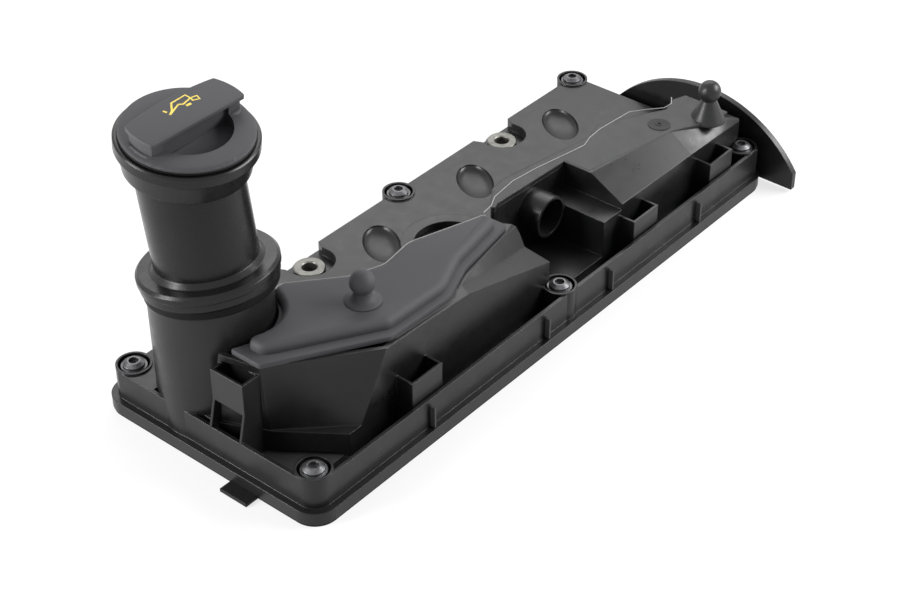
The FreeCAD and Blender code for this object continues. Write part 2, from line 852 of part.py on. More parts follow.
# Inner form: the cam space below, the deck's hollow, and the chambers, open to the lids
cam_space = slab(
    "cam_space", "cam_near", "base_length - cam_far", "front_wall + wall_thick",
    "base_width - cam_back", "0", "cam_roof",
)
deck_space = slab(
    "deck_space", "lid_shoulder_x + wall_thick", "base_length - cam_far", "duct_back + wall_thick",
    "base_width - cam_back", "cam_roof - 1", "deck_top - wall_thick",
)
thick_spots = []
for index, (across, along) in enumerate(SLEEVES):
    thick_spots.append(
        slab(
            "shelf_skin_%d" % index,
            "%s - shelf_mouth" % across,
            "%s + shelf_mouth" % across,
            "%s - shelf_half - wall_thick" % along,
            "base_width",
            "shelf_top - wall_thick",
            "deck_top",
        )
    )


def dip(index, grow):
    """Shape one dip in the deck, or the skin below it."""
    solid = doc.addObject("Part::Ellipsoid", "dip_%d_%d" % (index, len(grow)))
    solid.setExpression("Radius1", linked("dip_depth + " + grow))
    solid.setExpression("Radius2", linked("dip_long + " + grow))
    solid.setExpression("Radius3", linked("dip_wide + " + grow))
    solid.Placement = Placement(Vector(), Rotation(Vector(0, 0, 1), number("dip_turn")))
    solid.setExpression("Placement.Base.x", linked("dip_x + dip_pitch * %d" % index))
    solid.setExpression("Placement.Base.y", linked("base_width - dip_y"))
    solid.setExpression("Placement.Base.z", linked("deck_top"))
    return solid


for index in range(3):
    thick_spots.append(dip(index, "wall_thick"))
deck_hollow = cut("deck_hollow", deck_space, *thick_spots)
near_inner = cut(
    "near_inner",
    loft("near_core", inset("foot_inside", foot, "wall_thick"), inset("crown_inside", crown, "wall_thick")),
    shoulder("shoulder_inner", "wall_thick"),
    slab("near_below", "0", "base_length", "0", "base_width", "0", "cam_roof - 1"),
    drum("turret_keep", "turret_x", "turret_y", "turret_radius", "0", "turret_top"),
    drum("socket_keep", "socket_x", "socket_y", "socket_radius", "0", "lid_near + 20"),
)
far_inside = inset("far_inside", drawing("far_ceiling", far_corners, "cam_roof - 1"), "wall_thick")
far_core = doc.addObject("Part::Extrusion", "far_core")
far_core.Base = far_inside
far_core.DirMode = "Custom"
far_core.Dir = WAY["top"]
far_core.Solid = True
far_core.setExpression("LengthFwd", linked("lid_near - cam_roof + 1"))
far_inner = cut(
    "far_inner",
    far_core,
    slope("slope_inner", "wall_thick"),
    slab(
        "ledge_keep", "0", "far_start + wall_thick", "0", "base_width",
        "far_ledge - wall_thick", "lid_near + 20",
    ),
    lid_band("far_cap", "0 - lid_thick", "60"),
)
duct_inner = cut(
    "duct_inner",
    slab(
        "duct_core", "duct_x + 20", "far_start + wall_thick + 1", "duct_y + wall_thick",
        "far_back_y - wall_thick", "recess_floor + wall_thick", "lid_near",
    ),
    drum("turret_side", "turret_x", "turret_y", "turret_radius", "0", "turret_top"),
)
socket_seat = doc.addObject("Part::Cylinder", "socket_seat")
socket_seat.setExpression("Radius", linked("socket_bore"))
socket_seat.setExpression("Height", linked("spigot_length + 40"))
below_flange = number("spigot_length + 1")
neck_lean = math.radians(number("neck_lean"))
socket_seat.Placement = Placement(
    Vector(
        number("socket_x"),
        number("neck_y") - below_flange * math.sin(neck_lean),
        number("neck_height") - below_flange * math.cos(neck_lean),
    ),
    Rotation(Vector(1, 0, 0), -number("neck_lean")),
)
throat = drum("throat", "socket_x", "socket_y - 4", "socket_throat", "0", "neck_height - spigot_length")
socket_inner = fuse("socket_inner", socket_seat, throat)
turret_inner = drum(
    "turret_inner", "turret_x", "turret_y", "turret_radius - turret_rim",
    "turret_top - turret_depth", "turret_top + 1",
)
pipe_inner = bar(
    "pipe_inner", "pipe_x", "pipe_y", "pipe_radius - pipe_wall", "pipe_mouth - 1", "duct_y + wall_thick + 1"
)
inner = fuse(
    "inner", cam_space, deck_hollow, near_inner, far_inner,
    duct_inner, socket_inner, turret_inner, pipe_inner,
)
shell = cut("shell", outer, inner)

# Columns that stand in the hollow, then every hole and groove
posts = []
holes = []
for index, (across, along) in enumerate(BOLTS):
    posts.append(drum("boss_%d" % index, across, along, "boss_radius", "rubber_below", "boss_top"))
    head_top = "head_seat + head_height + 1"
    clear = "spacer_outer + spacer_fit"
    holes.append(drum("well_%d" % index, across, along, "well_radius", "well_floor", "boss_top + 1"))
    holes.append(drum("head_room_%d" % index, across, along, "head_radius", "boss_top", head_top))
    holes.append(drum("bolt_hole_%d" % index, across, along, clear, "0", "well_floor + 1"))
for index, (across, along) in enumerate(SLEEVES):
    outside = "sleeve_barrel + column_wall"
    clear = "sleeve_barrel + sleeve_fit"
    posts.append(drum("column_%d" % index, across, along, outside, "rubber_below", "shelf_top"))
    holes.append(drum("sleeve_hole_%d" % index, across, along, clear, "0", "shelf_top + 1"))
for index in range(3):
    holes.append(dip(index, "0"))
groove_top = "rubber_below + groove_depth"
groove_wide = rectangle("groove_outer", "corner_round - groove_outer")
groove_core = rectangle("groove_inner", "corner_round - groove_inner")
groove = cut(
    "groove",
    prism("groove_out", groove_wide, "0", groove_top),
    prism("groove_in", groove_core, "0", groove_top),
)
holes.append(groove)


def front_pocket(index, across, top):
    """Add one open pocket on the front wall and give its hollow."""
    far = "%s + pocket_length" % across
    back = "pocket_front + pocket_depth"
    posts.append(slab("pocket_%d" % index, across, far, "pocket_front", back, "moat_floor", top))
    return slab(
        "pocket_hollow_%d" % index,
        "%s + pocket_wall" % across,
        "%s - pocket_wall" % far,
        "pocket_front + pocket_wall",
        "front_wall",
        "moat_floor + pocket_wall",
        "%s + 1" % top,
    )


holes.append(front_pocket(1, "pocket_one", "pocket_high"))
holes.append(front_pocket(2, "pocket_two", "pocket_low"))
holes.append(front_pocket(3, "base_length - pocket_three", "pocket_low"))

# Pocket on the near wall, carried by two ribs that run out and down to the fence
posts.append(
    slab(
        "side_pocket", "side_pocket_face", "top_corner_x", "side_pocket_start", "side_pocket_end",
        "side_pocket_floor", "side_pocket_top",
    )
)
holes.append(
    slab(
        "side_pocket_hollow", "side_pocket_face + pocket_wall", "top_corner_x - 1.5",
        "side_pocket_start + pocket_wall", "side_pocket_end - pocket_wall",
        "side_pocket_floor + pocket_wall", "side_pocket_top + 1",
    )
)
for index, edge in enumerate(("side_pocket_start", "side_pocket_end - pocket_wall")):
    posts.append(
        prism(
            "side_rib_%d" % index,
            [
                ("fence_inset", "deck_top"),
                ("side_pocket_face", "side_pocket_floor"),
                ("side_pocket_face", "side_pocket_top"),
                ("top_corner_x", "side_pocket_top"),
                ("top_corner_x", "moat_floor"),
                ("fence_inset", "moat_floor"),
            ],
            edge,
            "%s + pocket_wall" % edge,
            "front",
        )
    )

cover = keep(cut("cover", fuse("carcass", shell, *posts), *holes), "cover_moulding")

# Lids, welded on the chambers' rims
near_lid_corners = [
    ("top_corner_x - lid_lap", "top_corner_y - lid_lap", "3"),
    ("top_front_x", "top_front_y - lid_lap", "12"),
    ("lid_bend_x", "lid_bend_y - lid_lap", "40"),
    ("lid_sweep_x", "lid_sweep_y - lid_lap", "30"),
    ("lid_tail_x", "lid_tail_y", "4"),
    ("lid_heel_x", "lid_heel_y", "3"),
    "lid_flank",
    ("lid_saddle_x", "lid_saddle_y", "25"),
    ("lid_dip_x", "lid_dip_y", "20"),
    ("lid_nook_x", "lid_nook_y", "20"),
    ("lid_shoulder_x", "lid_shoulder_y", "3"),
    ("top_corner_x - lid_lap", "lid_shoulder_y"),
]
lid_outline = drawing("near_lid", near_lid_corners, "lid_far - 20")

neck_room = drum("neck_room", "socket_x", "socket_y", "socket_radius + lid_gap", "0", "neck_height + 60")
lid_flange = raised("lid_flange", lid_outline, "0 - lid_thick", "0")
lid_middle = raised("lid_middle", inset("lid_inside", lid_outline, "lid_border"), "0 - 1", "lid_rise")
lid_under = raised(
    "lid_under", inset("lid_core", lid_outline, "lid_border + wall_thick"),
    "0 - 10", "lid_rise - wall_thick",
)
near_lid_solid = cut("near_lid_solid", fuse("near_lid_block", lid_flange, lid_middle), neck_room, lid_under)


def ball_stud(name, across, along):
    """Shape a ball on a flared foot, standing on a lid."""
    level = lid_level(across)
    foot_low = level + " - lid_thick / 2"
    ball = doc.addObject("Part::Sphere", name + "_ball")
    ball.setExpression("Radius", linked("ball_radius"))
    ball.setExpression("Placement.Base.x", linked(across))
    ball.setExpression("Placement.Base.y", linked(along))
    ball.setExpression("Placement.Base.z", linked(level + " + stud_height"))
    flare = doc.addObject("Part::Cone", name + "_flare")
    flare.setExpression("Radius1", linked("stud_foot"))
    flare.setExpression("Radius2", linked("stud_neck"))
    flare.setExpression("Height", linked("stud_height - ball_radius + 2 + lid_thick / 2"))
    flare.setExpression("Placement.Base.x", linked(across))
    flare.setExpression("Placement.Base.y", linked(along))
    flare.setExpression("Placement.Base.z", linked(foot_low))
    return fuse(name, ball, flare)


near_stud = ball_stud("near_stud", "stud_near_x", "stud_near_y")
keep(fuse("near_lid_all", near_lid_solid, near_stud), "near_separator_lid")

far_stud = ball_stud("far_stud", "base_length - stud_far_x", "stud_far_y")
keep(fuse("far_lid_all", far_flange, far_stud), "far_separator_lid")

# Cap and membrane of the pressure regulator, in the turret
disc_radius = "turret_radius - turret_rim - disc_fit"
membrane_top = "turret_top - turret_depth + membrane_thick"
membrane = turned(
    "regulator_membrane",
    [("0", "0"), (disc_radius, "0"), (disc_radius, "membrane_thick"), ("0", "membrane_thick")],
)
stand(membrane, "turret_x", "turret_y", "turret_top - turret_depth")
nodes.append(membrane)
regulator_cap = turned(
    "regulator_cap",
    [
        ("0", "0"),
        (disc_radius, "0"),
        (disc_radius, "disc_thick"),
        (disc_radius + " - 3", "disc_thick"),
        (disc_radius + " - 4", "disc_thick - 1"),
        ("0", "disc_thick - 1"),
    ],
)
stand(regulator_cap, "turret_x", "turret_y", membrane_top)
nodes.append(regulator_cap)

# Gasket: a flat strip under the flange, a bead up into the groove, and a tab at the near end
bead_outer = "groove_outer + groove_fit"
bead_inner = "groove_inner - groove_fit"
gasket = doc.addObject("PartDesign::Body", "perimeter_gasket")
pad(
    gasket,
    "strip",
    body_sketch(gasket, "strip_edge", "XY_Plane", rectangle("gasket_outer", "corner_round - gasket_outer")),
    "rubber_below",
)
tab = [
    ("0 - tab_reach", "tab_start"),
    ("gasket_outer + 3", "tab_start"),
    ("gasket_outer + 3", "tab_end"),
    ("0 - tab_reach", "tab_end"),
]
pad(gasket, "tab", body_sketch(gasket, "tab_edge", "XY_Plane", tab), "rubber_below")
pad(
    gasket,
    "bead",
    body_sketch(gasket, "bead_edge", "XY_Plane", rectangle(bead_outer, "corner_round - (%s)" % bead_outer)),
    "rubber_below + groove_depth - groove_fit",
)
pocket(
    gasket,
    "bead_inside",
    body_sketch(
        gasket, "bead_inner_edge", "XY_Plane", rectangle(bead_inner, "corner_round - (%s)" % bead_inner),
        level="rubber_below",
    ),
    "groove_depth + 1",
    upward=True,
)
pocket(
    gasket,
    "strip_inside",
    body_sketch(
        gasket, "strip_inner_edge", "XY_Plane", rectangle("gasket_inner", "corner_round - gasket_inner")
    ),
    "rubber_below",
    upward=True,
)
keep(gasket, "perimeter_gasket")

# Six captive bolts, each with its steel spacer and rubber grommet
for index, (across, along) in enumerate(BOLTS):
    bolt = turned(
        "bolt_%d" % (index + 1),
        [
            ("0", "bolt_tip"),
            ("bolt_radius - 0.8", "bolt_tip"),
            ("bolt_radius", "bolt_tip + 0.8"),
            ("bolt_radius", "head_seat"),
            ("washer_radius", "head_seat"),
            ("washer_radius", "head_seat + washer_thick"),
            ("head_radius", "head_seat + washer_thick"),
            ("head_radius", "head_seat + head_height - 1.5"),
            ("drive_radius + 1", "head_seat + head_height"),
            ("drive_radius", "head_seat + head_height"),
            ("drive_radius", "head_seat + head_height - drive_depth"),
            ("0", "head_seat + head_height - drive_depth"),
        ],
    )
    stand(bolt, across, along, "0")
    spacer = turned(
        "bolt_spacer_%d" % (index + 1),
        [
            ("spacer_outer - spacer_wall", "spacer_bottom"),
            ("spacer_outer", "spacer_bottom"),
            ("spacer_outer", "spacer_top"),
            ("spacer_outer - spacer_wall", "spacer_top"),
        ],
    )
    stand(spacer, across, along, "0")
    grommet = turned(
        "bolt_grommet_%d" % (index + 1),
        [
            ("spacer_outer", "well_floor"),
            ("well_radius - grommet_fit", "well_floor"),
            ("well_radius - grommet_fit", "grommet_top - 1.5"),
            ("well_radius - grommet_fit - 1.5", "grommet_top"),
            ("spacer_outer", "grommet_top"),
        ],
    )
    stand(grommet, across, along, "0")
    nodes += [bolt, spacer, grommet]

for index, (across, along) in enumerate(SLEEVES):
    sleeve = turned(
        "compression_sleeve_%d" % (index + 1),
        [
            ("sleeve_bore", "rubber_below"),
            ("sleeve_barrel", "rubber_below"),
            ("sleeve_barrel", "shelf_top"),
            ("sleeve_rim", "shelf_top"),
            ("sleeve_rim", "shelf_top + sleeve_lip - 0.5"),
            ("sleeve_rim - 0.5", "shelf_top + sleeve_lip"),
            ("sleeve_bore + 0.6", "shelf_top + sleeve_lip"),
            ("sleeve_bore", "shelf_top + sleeve_lip - 0.6"),
        ],
    )
    stand(sleeve, across, along, "0")
    nodes.append(sleeve)

# Filler neck, drawn about its own leaning axis, with the mouth on a second axis from the bend
neck = doc.addObject("PartDesign::Body", "filler_neck")
neck_turn = "neck_lean + mouth_lean"


def neck_ring(name, corners, hollow=False, mouth=False):
    """Turn a half outline about the neck's axis, or about the mouth's."""
    sketch = body_sketch(neck, name + "_half", "YZ_Plane", corners)
    if mouth:
        sketch.AttachmentOffset = Placement(
            Vector(0, number("neck_bend"), 0), Rotation(Vector(0, 0, 1), number(neck_turn))
        )
    kind = "PartDesign::Groove" if hollow else "PartDesign::Revolution"
    feature = neck.newObject(kind, name)
    feature.Profile = sketch
    feature.ReferenceAxis = (sketch, ["V_Axis"])
    feature.Angle = 360
    return feature


def set_on_axis(sphere):
    """Centre a sphere on the neck's axis, at the bend."""
    level_plane = [item for item in neck.Origin.OriginFeatures if item.Role == "XY_Plane"][0]
    sphere.AttachmentSupport = (level_plane, [""])
    sphere.MapMode = "FlatFace"
    sphere.setExpression("AttachmentOffset.Base.z", linked("neck_bend"))


neck_ring(
    "neck_tube",
    [
        ("0", "0 - spigot_length"),
        ("socket_bore - spigot_fit", "0 - spigot_length"),
        ("socket_bore - spigot_fit", "0 - tier_thick"),
        ("tier_radius", "0 - tier_thick"),
        ("tier_radius", "0 - 0.6"),
        ("tier_radius - 1", "0 - 0.6"),
        ("tier_radius - 1", "0"),
        ("flange_radius", "0"),
        ("flange_radius", "flange_thick - 1.5"),
        ("flange_radius - 1.5", "flange_thick"),
        ("neck_radius + 2.5", "flange_thick"),
        ("neck_radius", "flange_thick + 2.5"),
        ("neck_radius", "neck_bend"),
        ("0", "neck_bend"),
    ],
)
knuckle = neck.newObject("PartDesign::AdditiveSphere", "knuckle")
knuckle.setExpression("Radius", linked("neck_radius"))
set_on_axis(knuckle)
neck_ring(
    "mouth",
    [
        ("0", "0"),
        ("neck_radius", "0"),
        ("neck_radius", "mouth_height - collar_height"),
        ("collar_foot", "mouth_height - collar_height"),
        ("collar_radius", "mouth_height - mouth_rim - 1.6"),
        ("collar_radius", "mouth_height - mouth_rim"),
        ("mouth_radius", "mouth_height - mouth_rim"),
        ("mouth_radius", "mouth_height - 0.8"),
        ("mouth_radius - 0.8", "mouth_height"),
        ("0", "mouth_height"),
    ],
    mouth=True,
)
neck_ring(
    "mouth_bore",
    [
        ("0", "0"),
        ("neck_radius - neck_wall", "0"),
        ("neck_radius - neck_wall", "mouth_height - catch_depth - catch_height"),
        ("catch_radius", "mouth_height - catch_depth - catch_height + 1.5"),
        ("catch_radius", "mouth_height - catch_depth"),
        ("neck_radius - neck_wall", "mouth_height - catch_depth"),
        ("neck_radius - neck_wall", "mouth_height + neck_radius"),
        ("0", "mouth_height + neck_radius"),
    ],
    hollow=True,
    mouth=True,
)
neck_ring(
    "tube_bore",
    [
        ("0", "0 - spigot_length - 1"),
        ("neck_radius - neck_wall", "0 - spigot_length - 1"),
        ("neck_radius - neck_wall", "neck_bend"),
        ("0", "neck_bend"),
    ],
    hollow=True,
)
inner_knuckle = neck.newObject("PartDesign::SubtractiveSphere", "inner_knuckle")
inner_knuckle.setExpression("Radius", linked("neck_radius - neck_wall"))
set_on_axis(inner_knuckle)
notch = [
    ("0 - lug_width / 2 - 1", "0 - catch_radius"),
    ("lug_width / 2 + 1", "0 - catch_radius"),
    ("lug_width / 2 + 1", "catch_radius"),
    ("0 - lug_width / 2 - 1", "catch_radius"),
]
notch_sketch = body_sketch(neck, "notch_edge", "XY_Plane", notch)
turn = math.radians(number(neck_turn))
mouth_y = -number("mouth_height") * math.sin(turn)
mouth_z = number("neck_bend") + number("mouth_height") * math.cos(turn)
notch_sketch.AttachmentOffset = Placement(
    Vector(0, mouth_y, mouth_z), Rotation(Vector(1, 0, 0), number(neck_turn))
)
pocket(neck, "notches", notch_sketch, "catch_depth + 1")
stand(neck, "socket_x", "neck_y", "neck_height", "0 - neck_lean")
keep(neck, "filler_neck")

seal_low = "0 - tier_thick - seal_thick"
neck_seal = turned(
    "neck_seal",
    [
        ("socket_bore - spigot_fit", seal_low),
        ("seal_radius - 1", seal_low),
        ("seal_radius", seal_low + " + 1"),
        ("seal_radius", "0 - tier_thick - 1"),
        ("seal_radius - 1", "0 - tier_thick"),
        ("socket_bore - spigot_fit", "0 - tier_thick"),
    ],
)
stand(neck_seal, "socket_x", "neck_y", "neck_height", "0 - neck_lean")
nodes.append(neck_seal)

# Filler cap: disc, plug with two lugs, and the grip with its finger recess
cap_y = "neck_y + neck_bend * sin(neck_lean * 1 deg) - mouth_height * sin(mouth_lean * 1 deg)"
cap_z = "neck_height + neck_bend * cos(neck_lean * 1 deg) + mouth_height * cos(mouth_lean * 1 deg)"
cap_seal = turned(
    "cap_seal",
    [
        ("cap_radius - cap_seal_width", "0"),
        ("cap_radius - 0.6", "0"),
        ("cap_radius + 0.4", "cap_seal_thick / 2"),
        ("cap_radius - 0.6", "cap_seal_thick"),
        ("cap_radius - cap_seal_width", "cap_seal_thick"),
    ],
)
stand(cap_seal, "socket_x", cap_y, cap_z, "mouth_lean")
nodes.append(cap_seal)

cap = doc.addObject("PartDesign::Body", "filler_cap")
plug_radius = "neck_radius - neck_wall - plug_fit"
lug_top = "0 - catch_depth - lug_fit"
lug_low = "0 - catch_depth - catch_height + 1.5 + lug_fit"
cap_turn = cap.newObject("PartDesign::Revolution", "cap_turn")
cap_turn.Profile = body_sketch(
    cap,
    "cap_half",
    "XZ_Plane",
    [
        ("0", "cap_seal_thick + cap_thick - finger_depth - cap_skin"),
        (plug_radius + " - plug_wall", "cap_seal_thick + cap_thick - finger_depth - cap_skin"),
        (plug_radius + " - plug_wall", lug_low),
        (plug_radius, lug_low),
        (plug_radius, "0.2"),
        ("cap_radius - cap_seal_width - 0.2", "0.2"),
        ("cap_radius - cap_seal_width - 0.2", "cap_seal_thick"),
        ("cap_radius", "cap_seal_thick"),
        ("cap_radius", "cap_seal_thick + cap_thick - 2"),
        ("cap_radius - 1", "cap_seal_thick + cap_thick - 0.5"),
        ("cap_radius - 2.5", "cap_seal_thick + cap_thick"),
        ("0", "cap_seal_thick + cap_thick"),
    ],
)
cap_turn.ReferenceAxis = (cap_turn.Profile[0], ["V_Axis"])
cap_turn.Angle = 360
disc_top = "cap_seal_thick + cap_thick"
pad(
    cap,
    "grip",
    body_sketch(
        cap,
        "grip_edge",
        "XY_Plane",
        [
            ("0 - grip_radius", "0 - grip_width / 2", "grip_width / 2 - 1"),
            ("grip_radius", "0 - grip_width / 2", "grip_width / 2 - 1"),
            ("grip_radius", "grip_width / 2", "grip_width / 2 - 1"),
            ("0 - grip_radius", "grip_width / 2", "grip_width / 2 - 1"),
        ],
        level=disc_top + " - 1",
    ),
    "grip_height + 1",
)
for name, front in (("front_finger", "0 - "), ("back_finger", "")):
    near_edge = front + "grip_web / 2"
    far_edge = front + "finger_radius"
    bend = "finger_radius - grip_web / 2 - 0.5"
    finger = [
        ("0 - finger_radius", near_edge),
        ("0 - finger_radius", far_edge, bend),
        ("finger_radius", far_edge, bend),
        ("finger_radius", near_edge),
    ]
    if front:
        finger = finger[::-1]
    pocket(
        cap,
        name,
        body_sketch(cap, name + "_edge", "XY_Plane", finger[::-1], level=disc_top + " - finger_depth"),
        "finger_depth + grip_height - grip_lip",
        upward=True,
    )
for name, side in (("right_lug", ""), ("left_lug", "0 - ")):
    lug = [
        (side + "lug_root", "0 - lug_width / 2"),
        (side + "lug_reach", "0 - lug_width / 2"),
        (side + "lug_reach", "lug_width / 2"),
        (side + "lug_root", "lug_width / 2"),
    ]
    if side:
        lug = lug[::-1]
    lug_edge = body_sketch(cap, name + "_edge", "XY_Plane", lug, level=lug_low)
    pad(cap, name, lug_edge, "(%s) - (%s)" % (lug_top, lug_low))
stand(cap, "socket_x", cap_y, cap_z, "mouth_lean")
keep(cap, "filler_cap")

# Belt shield on the flange's far edge
shield_solid = prism(
    "shield_solid",
    [
        ("shield_front", "0 - 1"),
        ("shield_back", "0 - 1"),
        ("shield_back", "shield_y + shield_radius + 5"),
        ("shield_front", "shield_y + shield_radius + 5"),
    ],
    "base_length",
    "base_length + shield_thick",
    "end",
)
shield_arc = doc.addObject("Part::Cylinder", "shield_arc")
shield_arc.Placement = Placement(Vector(), Rotation(Vector(0, 1, 0), 90))
shield_arc.setExpression("Radius", linked("shield_radius"))
shield_arc.setExpression("Height", linked("shield_thick + 4"))
shield_arc.setExpression("Placement.Base.x", linked("base_length - 2"))
shield_arc.setExpression("Placement.Base.y", linked("shield_x"))
shield_arc.setExpression("Placement.Base.z", linked("shield_y"))
below = slab(
    "shield_below", "base_length - 1", "base_length + shield_thick + 1", "0 - 60", "base_width + 60",
    "0 - 10", "shield_foot",
)
keep(cut("shield", common("shield_round", shield_solid, shield_arc), below), "belt_shield")

# Baffle plates that close the chambers from below, against the ends of the chamber walls
near_baffle_all = prism(
    "near_baffle_shape",
    [
        ("foot_front_x", "front_wall + wall_thick + baffle_fit"),
        ("chamber_end", "front_wall + wall_thick + baffle_fit"),
        ("chamber_end", "lid_heel_y"),
        ("lid_saddle_x", "lid_saddle_y"),
        ("foot_corner_x + 4", "lid_saddle_y"),
        ("foot_corner_x + 4", "foot_corner_y"),
    ],
    "cam_roof - baffle_thick",
    "cam_roof",
)
neck_gap = drum("neck_gap", "socket_x", "socket_y", "socket_bore + baffle_fit", "0", "deck_top")
boss_gap = drum("boss_gap", *BOLTS[2], "boss_radius + baffle_fit", "0", "deck_top")
keep(cut("near_baffle", near_baffle_all, neck_gap, boss_gap), "near_baffle_plate")
far_baffle_all = prism(
    "far_baffle_shape",
    [
        ("far_low_x", "front_wall + wall_thick + baffle_fit"),
        ("base_length - cam_far - baffle_fit", "front_wall + wall_thick + baffle_fit"),
        ("base_length - cam_far - baffle_fit", "far_bump_y"),
        ("base_length - far_waist_x", "far_bump_y"),
        ("far_swell_x", "far_swell_y + 2"),
        ("far_low_x", "far_back_y + 2"),
    ],
    "cam_roof - baffle_thick",
    "cam_roof",
)
end_gap = drum("end_gap", *BOLTS[4], "boss_radius + baffle_fit", "0", "deck_top")
keep(cut("far_baffle", far_baffle_all, end_gap), "far_baffle_plate")

doc.recompute()
faults = []
for item in doc.Objects:
    if "Invalid" in item.State or "Error" in item.State:
        faults.append("%s failed" % item.Label)
for node in nodes:
    if node.Shape.isNull() or not node.Shape.isValid():
        faults.append("%s has no valid shape" % node.Label)
if faults:
    raise RuntimeError("; ".join(faults))

# The zero point goes to the centre of the underside
whole = FreeCAD.BoundBox()
for node in nodes:
    whole.add(node.Shape.optimalBoundingBox(False))
shift = Placement(Vector(-whole.Center.x, -whole.Center.y, -whole.ZMin), Rotation())
for node in nodes:
    node.Placement = shift * node.Placement
    node.Shape.exportStep("parts/%s.step" % node.Label)
    print(node.Label, len(node.Shape.Solids), round(node.Shape.Volume))
print("shift", shift.Base, "size", whole.XLength, whole.YLength, whole.ZLength)
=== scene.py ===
"""Looks of a cylinder head cover with its filler neck, separator lids, seals and captive bolts."""
import json
import math

import bpy
from bpy.props import FloatProperty, FloatVectorProperty, PointerProperty
from mathutils import Matrix, Vector


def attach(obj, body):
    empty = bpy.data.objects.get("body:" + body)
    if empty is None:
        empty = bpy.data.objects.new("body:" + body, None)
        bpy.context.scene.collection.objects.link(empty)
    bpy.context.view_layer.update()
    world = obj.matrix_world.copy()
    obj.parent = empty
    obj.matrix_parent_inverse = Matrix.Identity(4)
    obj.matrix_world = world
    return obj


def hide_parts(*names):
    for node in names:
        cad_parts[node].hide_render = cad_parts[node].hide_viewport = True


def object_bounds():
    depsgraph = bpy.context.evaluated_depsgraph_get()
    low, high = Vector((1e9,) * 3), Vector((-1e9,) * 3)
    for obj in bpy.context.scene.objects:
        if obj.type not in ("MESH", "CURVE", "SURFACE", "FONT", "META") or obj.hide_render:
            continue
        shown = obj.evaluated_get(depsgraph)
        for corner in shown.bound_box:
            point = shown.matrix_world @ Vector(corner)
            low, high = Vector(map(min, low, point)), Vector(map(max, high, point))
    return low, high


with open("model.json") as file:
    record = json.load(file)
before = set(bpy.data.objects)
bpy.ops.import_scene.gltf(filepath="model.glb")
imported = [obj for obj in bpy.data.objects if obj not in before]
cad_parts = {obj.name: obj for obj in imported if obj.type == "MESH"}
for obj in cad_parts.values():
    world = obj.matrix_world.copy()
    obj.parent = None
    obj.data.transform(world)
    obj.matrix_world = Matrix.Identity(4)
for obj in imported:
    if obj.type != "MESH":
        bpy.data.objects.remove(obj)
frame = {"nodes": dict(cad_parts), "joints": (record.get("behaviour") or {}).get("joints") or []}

bl_info = {
    "name": "Valve cover",
    "version": (1, 0, 0),
    "blender": (4, 5, 0),
    "location": "View3D > Sidebar > Valve cover",
    "description": "Finishes, fine shapes, cap mark and studio of a cylinder head cover",
    "category": "Object",
}

CAD_BOX = [list(corner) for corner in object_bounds()]
CAP_JOINT = frame["joints"][0]
NODES = frame["nodes"]

# Plans are in millimetres from the flange's near front corner: across, along and corner radius.
# Places and insets in a plan are in millimetres too. Heights are in metres unless another unit is named,
# and those of the lid's pieces count from the level of the lids' sloping flange.
MIDDLE = (206.45, 71.0)  # origin of the frame, seen from that corner
LID_LEVEL = 71.0  # height of the lids' flange at the near end, in millimetres
LID_SLOPE = 0.0456  # its fall towards the far end, for each unit of length
ARC_STEPS = 8  # segments of a rounded plan corner
LEAST_RADIUS = 0.05  # of a plan corner, in millimetres

# Raised middle and flange of the near lid
LID_MIDDLE = (
    (26, 57.5, 7), (86, 25.2, 9), (131, 26, 25), (157, 37.5, 25), (201, 46.8, 5.2), (199.5, 55, 5.2),
    (188.5, 57.5, 20), (149, 68, 20), (124, 63.5, 14), (103, 70, 12), (75, 91.5, 5.5), (67.8, 91.5, 5),
    (54.5, 60.4, 25), (26, 71.7, 5),
)
LID_FLANGE = (
    (19.6, 54, 2.5), (82, 20.6, 6), (130, 21.6, 25), (157, 33, 25), (205, 42.8, 2), (204.5, 55.4, 2),
    (189, 61, 20), (149, 72, 20), (124, 67.5, 14), (105, 73.5, 12), (76, 95.2, 2), (69.2, 95.2, 2),
    (54.5, 60.4, 32), (19.6, 74.4, 1),
)
LID_BACK = slice(47, 106)  # rounded points along the middle's back, ARC_STEPS + 1 to a corner
FLANGE_RINGS = ((0, -0.003), (0, -0.0007), (0.25, -0.0002), (0.8, 0.0))  # inset, height
BORDER_STEPS = 8  # segments of the middle's rounded border

# Near lid's ball stud: place, height of the ball's centre over the flange, and the flared foot
STUD = (89.7, 46.8)
STUD_HEIGHT = 0.018
STUD_WAIST = 0.0047  # radius where the foot meets the ball, in metres
STUD_FOOT = (  # radius and height from the ball's centre, both in metres
    (0.0100, -0.0180), (0.0100, -0.0112), (0.0095, -0.0108), (0.0080, -0.0104), (0.0066, -0.0096),
    (0.0055, -0.0084), (0.0049, -0.0068), (STUD_WAIST, -0.0050),
)
BALL_STEPS = 17  # rings of the ball, from its waist to the small flat at its top

# Far lid's weld line along its back edge, which carries a bead painted light grey as a partly painted
# edge highlight, and its plug: place, and rings with radius in millimetres
FAR_SEAM = (
    (205.9, 60.2), (214.8, 61.8), (223.2, 66.2), (243.8, 69.3), (265.2, 68.1), (289.5, 65.0),
    (305.0, 63.1), (314.8, 66.2), (327.3, 67.7), (356.5, 66.9), (366.1, 60.8), (375.5, 53.7),
    (383.2, 53.5), (389.7, 58.0),
)
PLUG = (356.0, 44.0)
PLUG_RINGS = ((7.0, -0.001), (7.0, 0.0004), (2.6, 0.0004), (2.2, 0.0009), (1.2, 0.0009), (0.9, 0.0))

# Ribs outside the fence: places across, half thickness, reach along, corner radius, heights in the frame
FENCE_RIBS = (93, 192, 252, 342)
RIB_HALF = 0.6
RIB_REACH = (0.9, 4.6)
RIB_CORNER = 0.2
RIB_HEIGHTS = (0.0085, 0.0225)

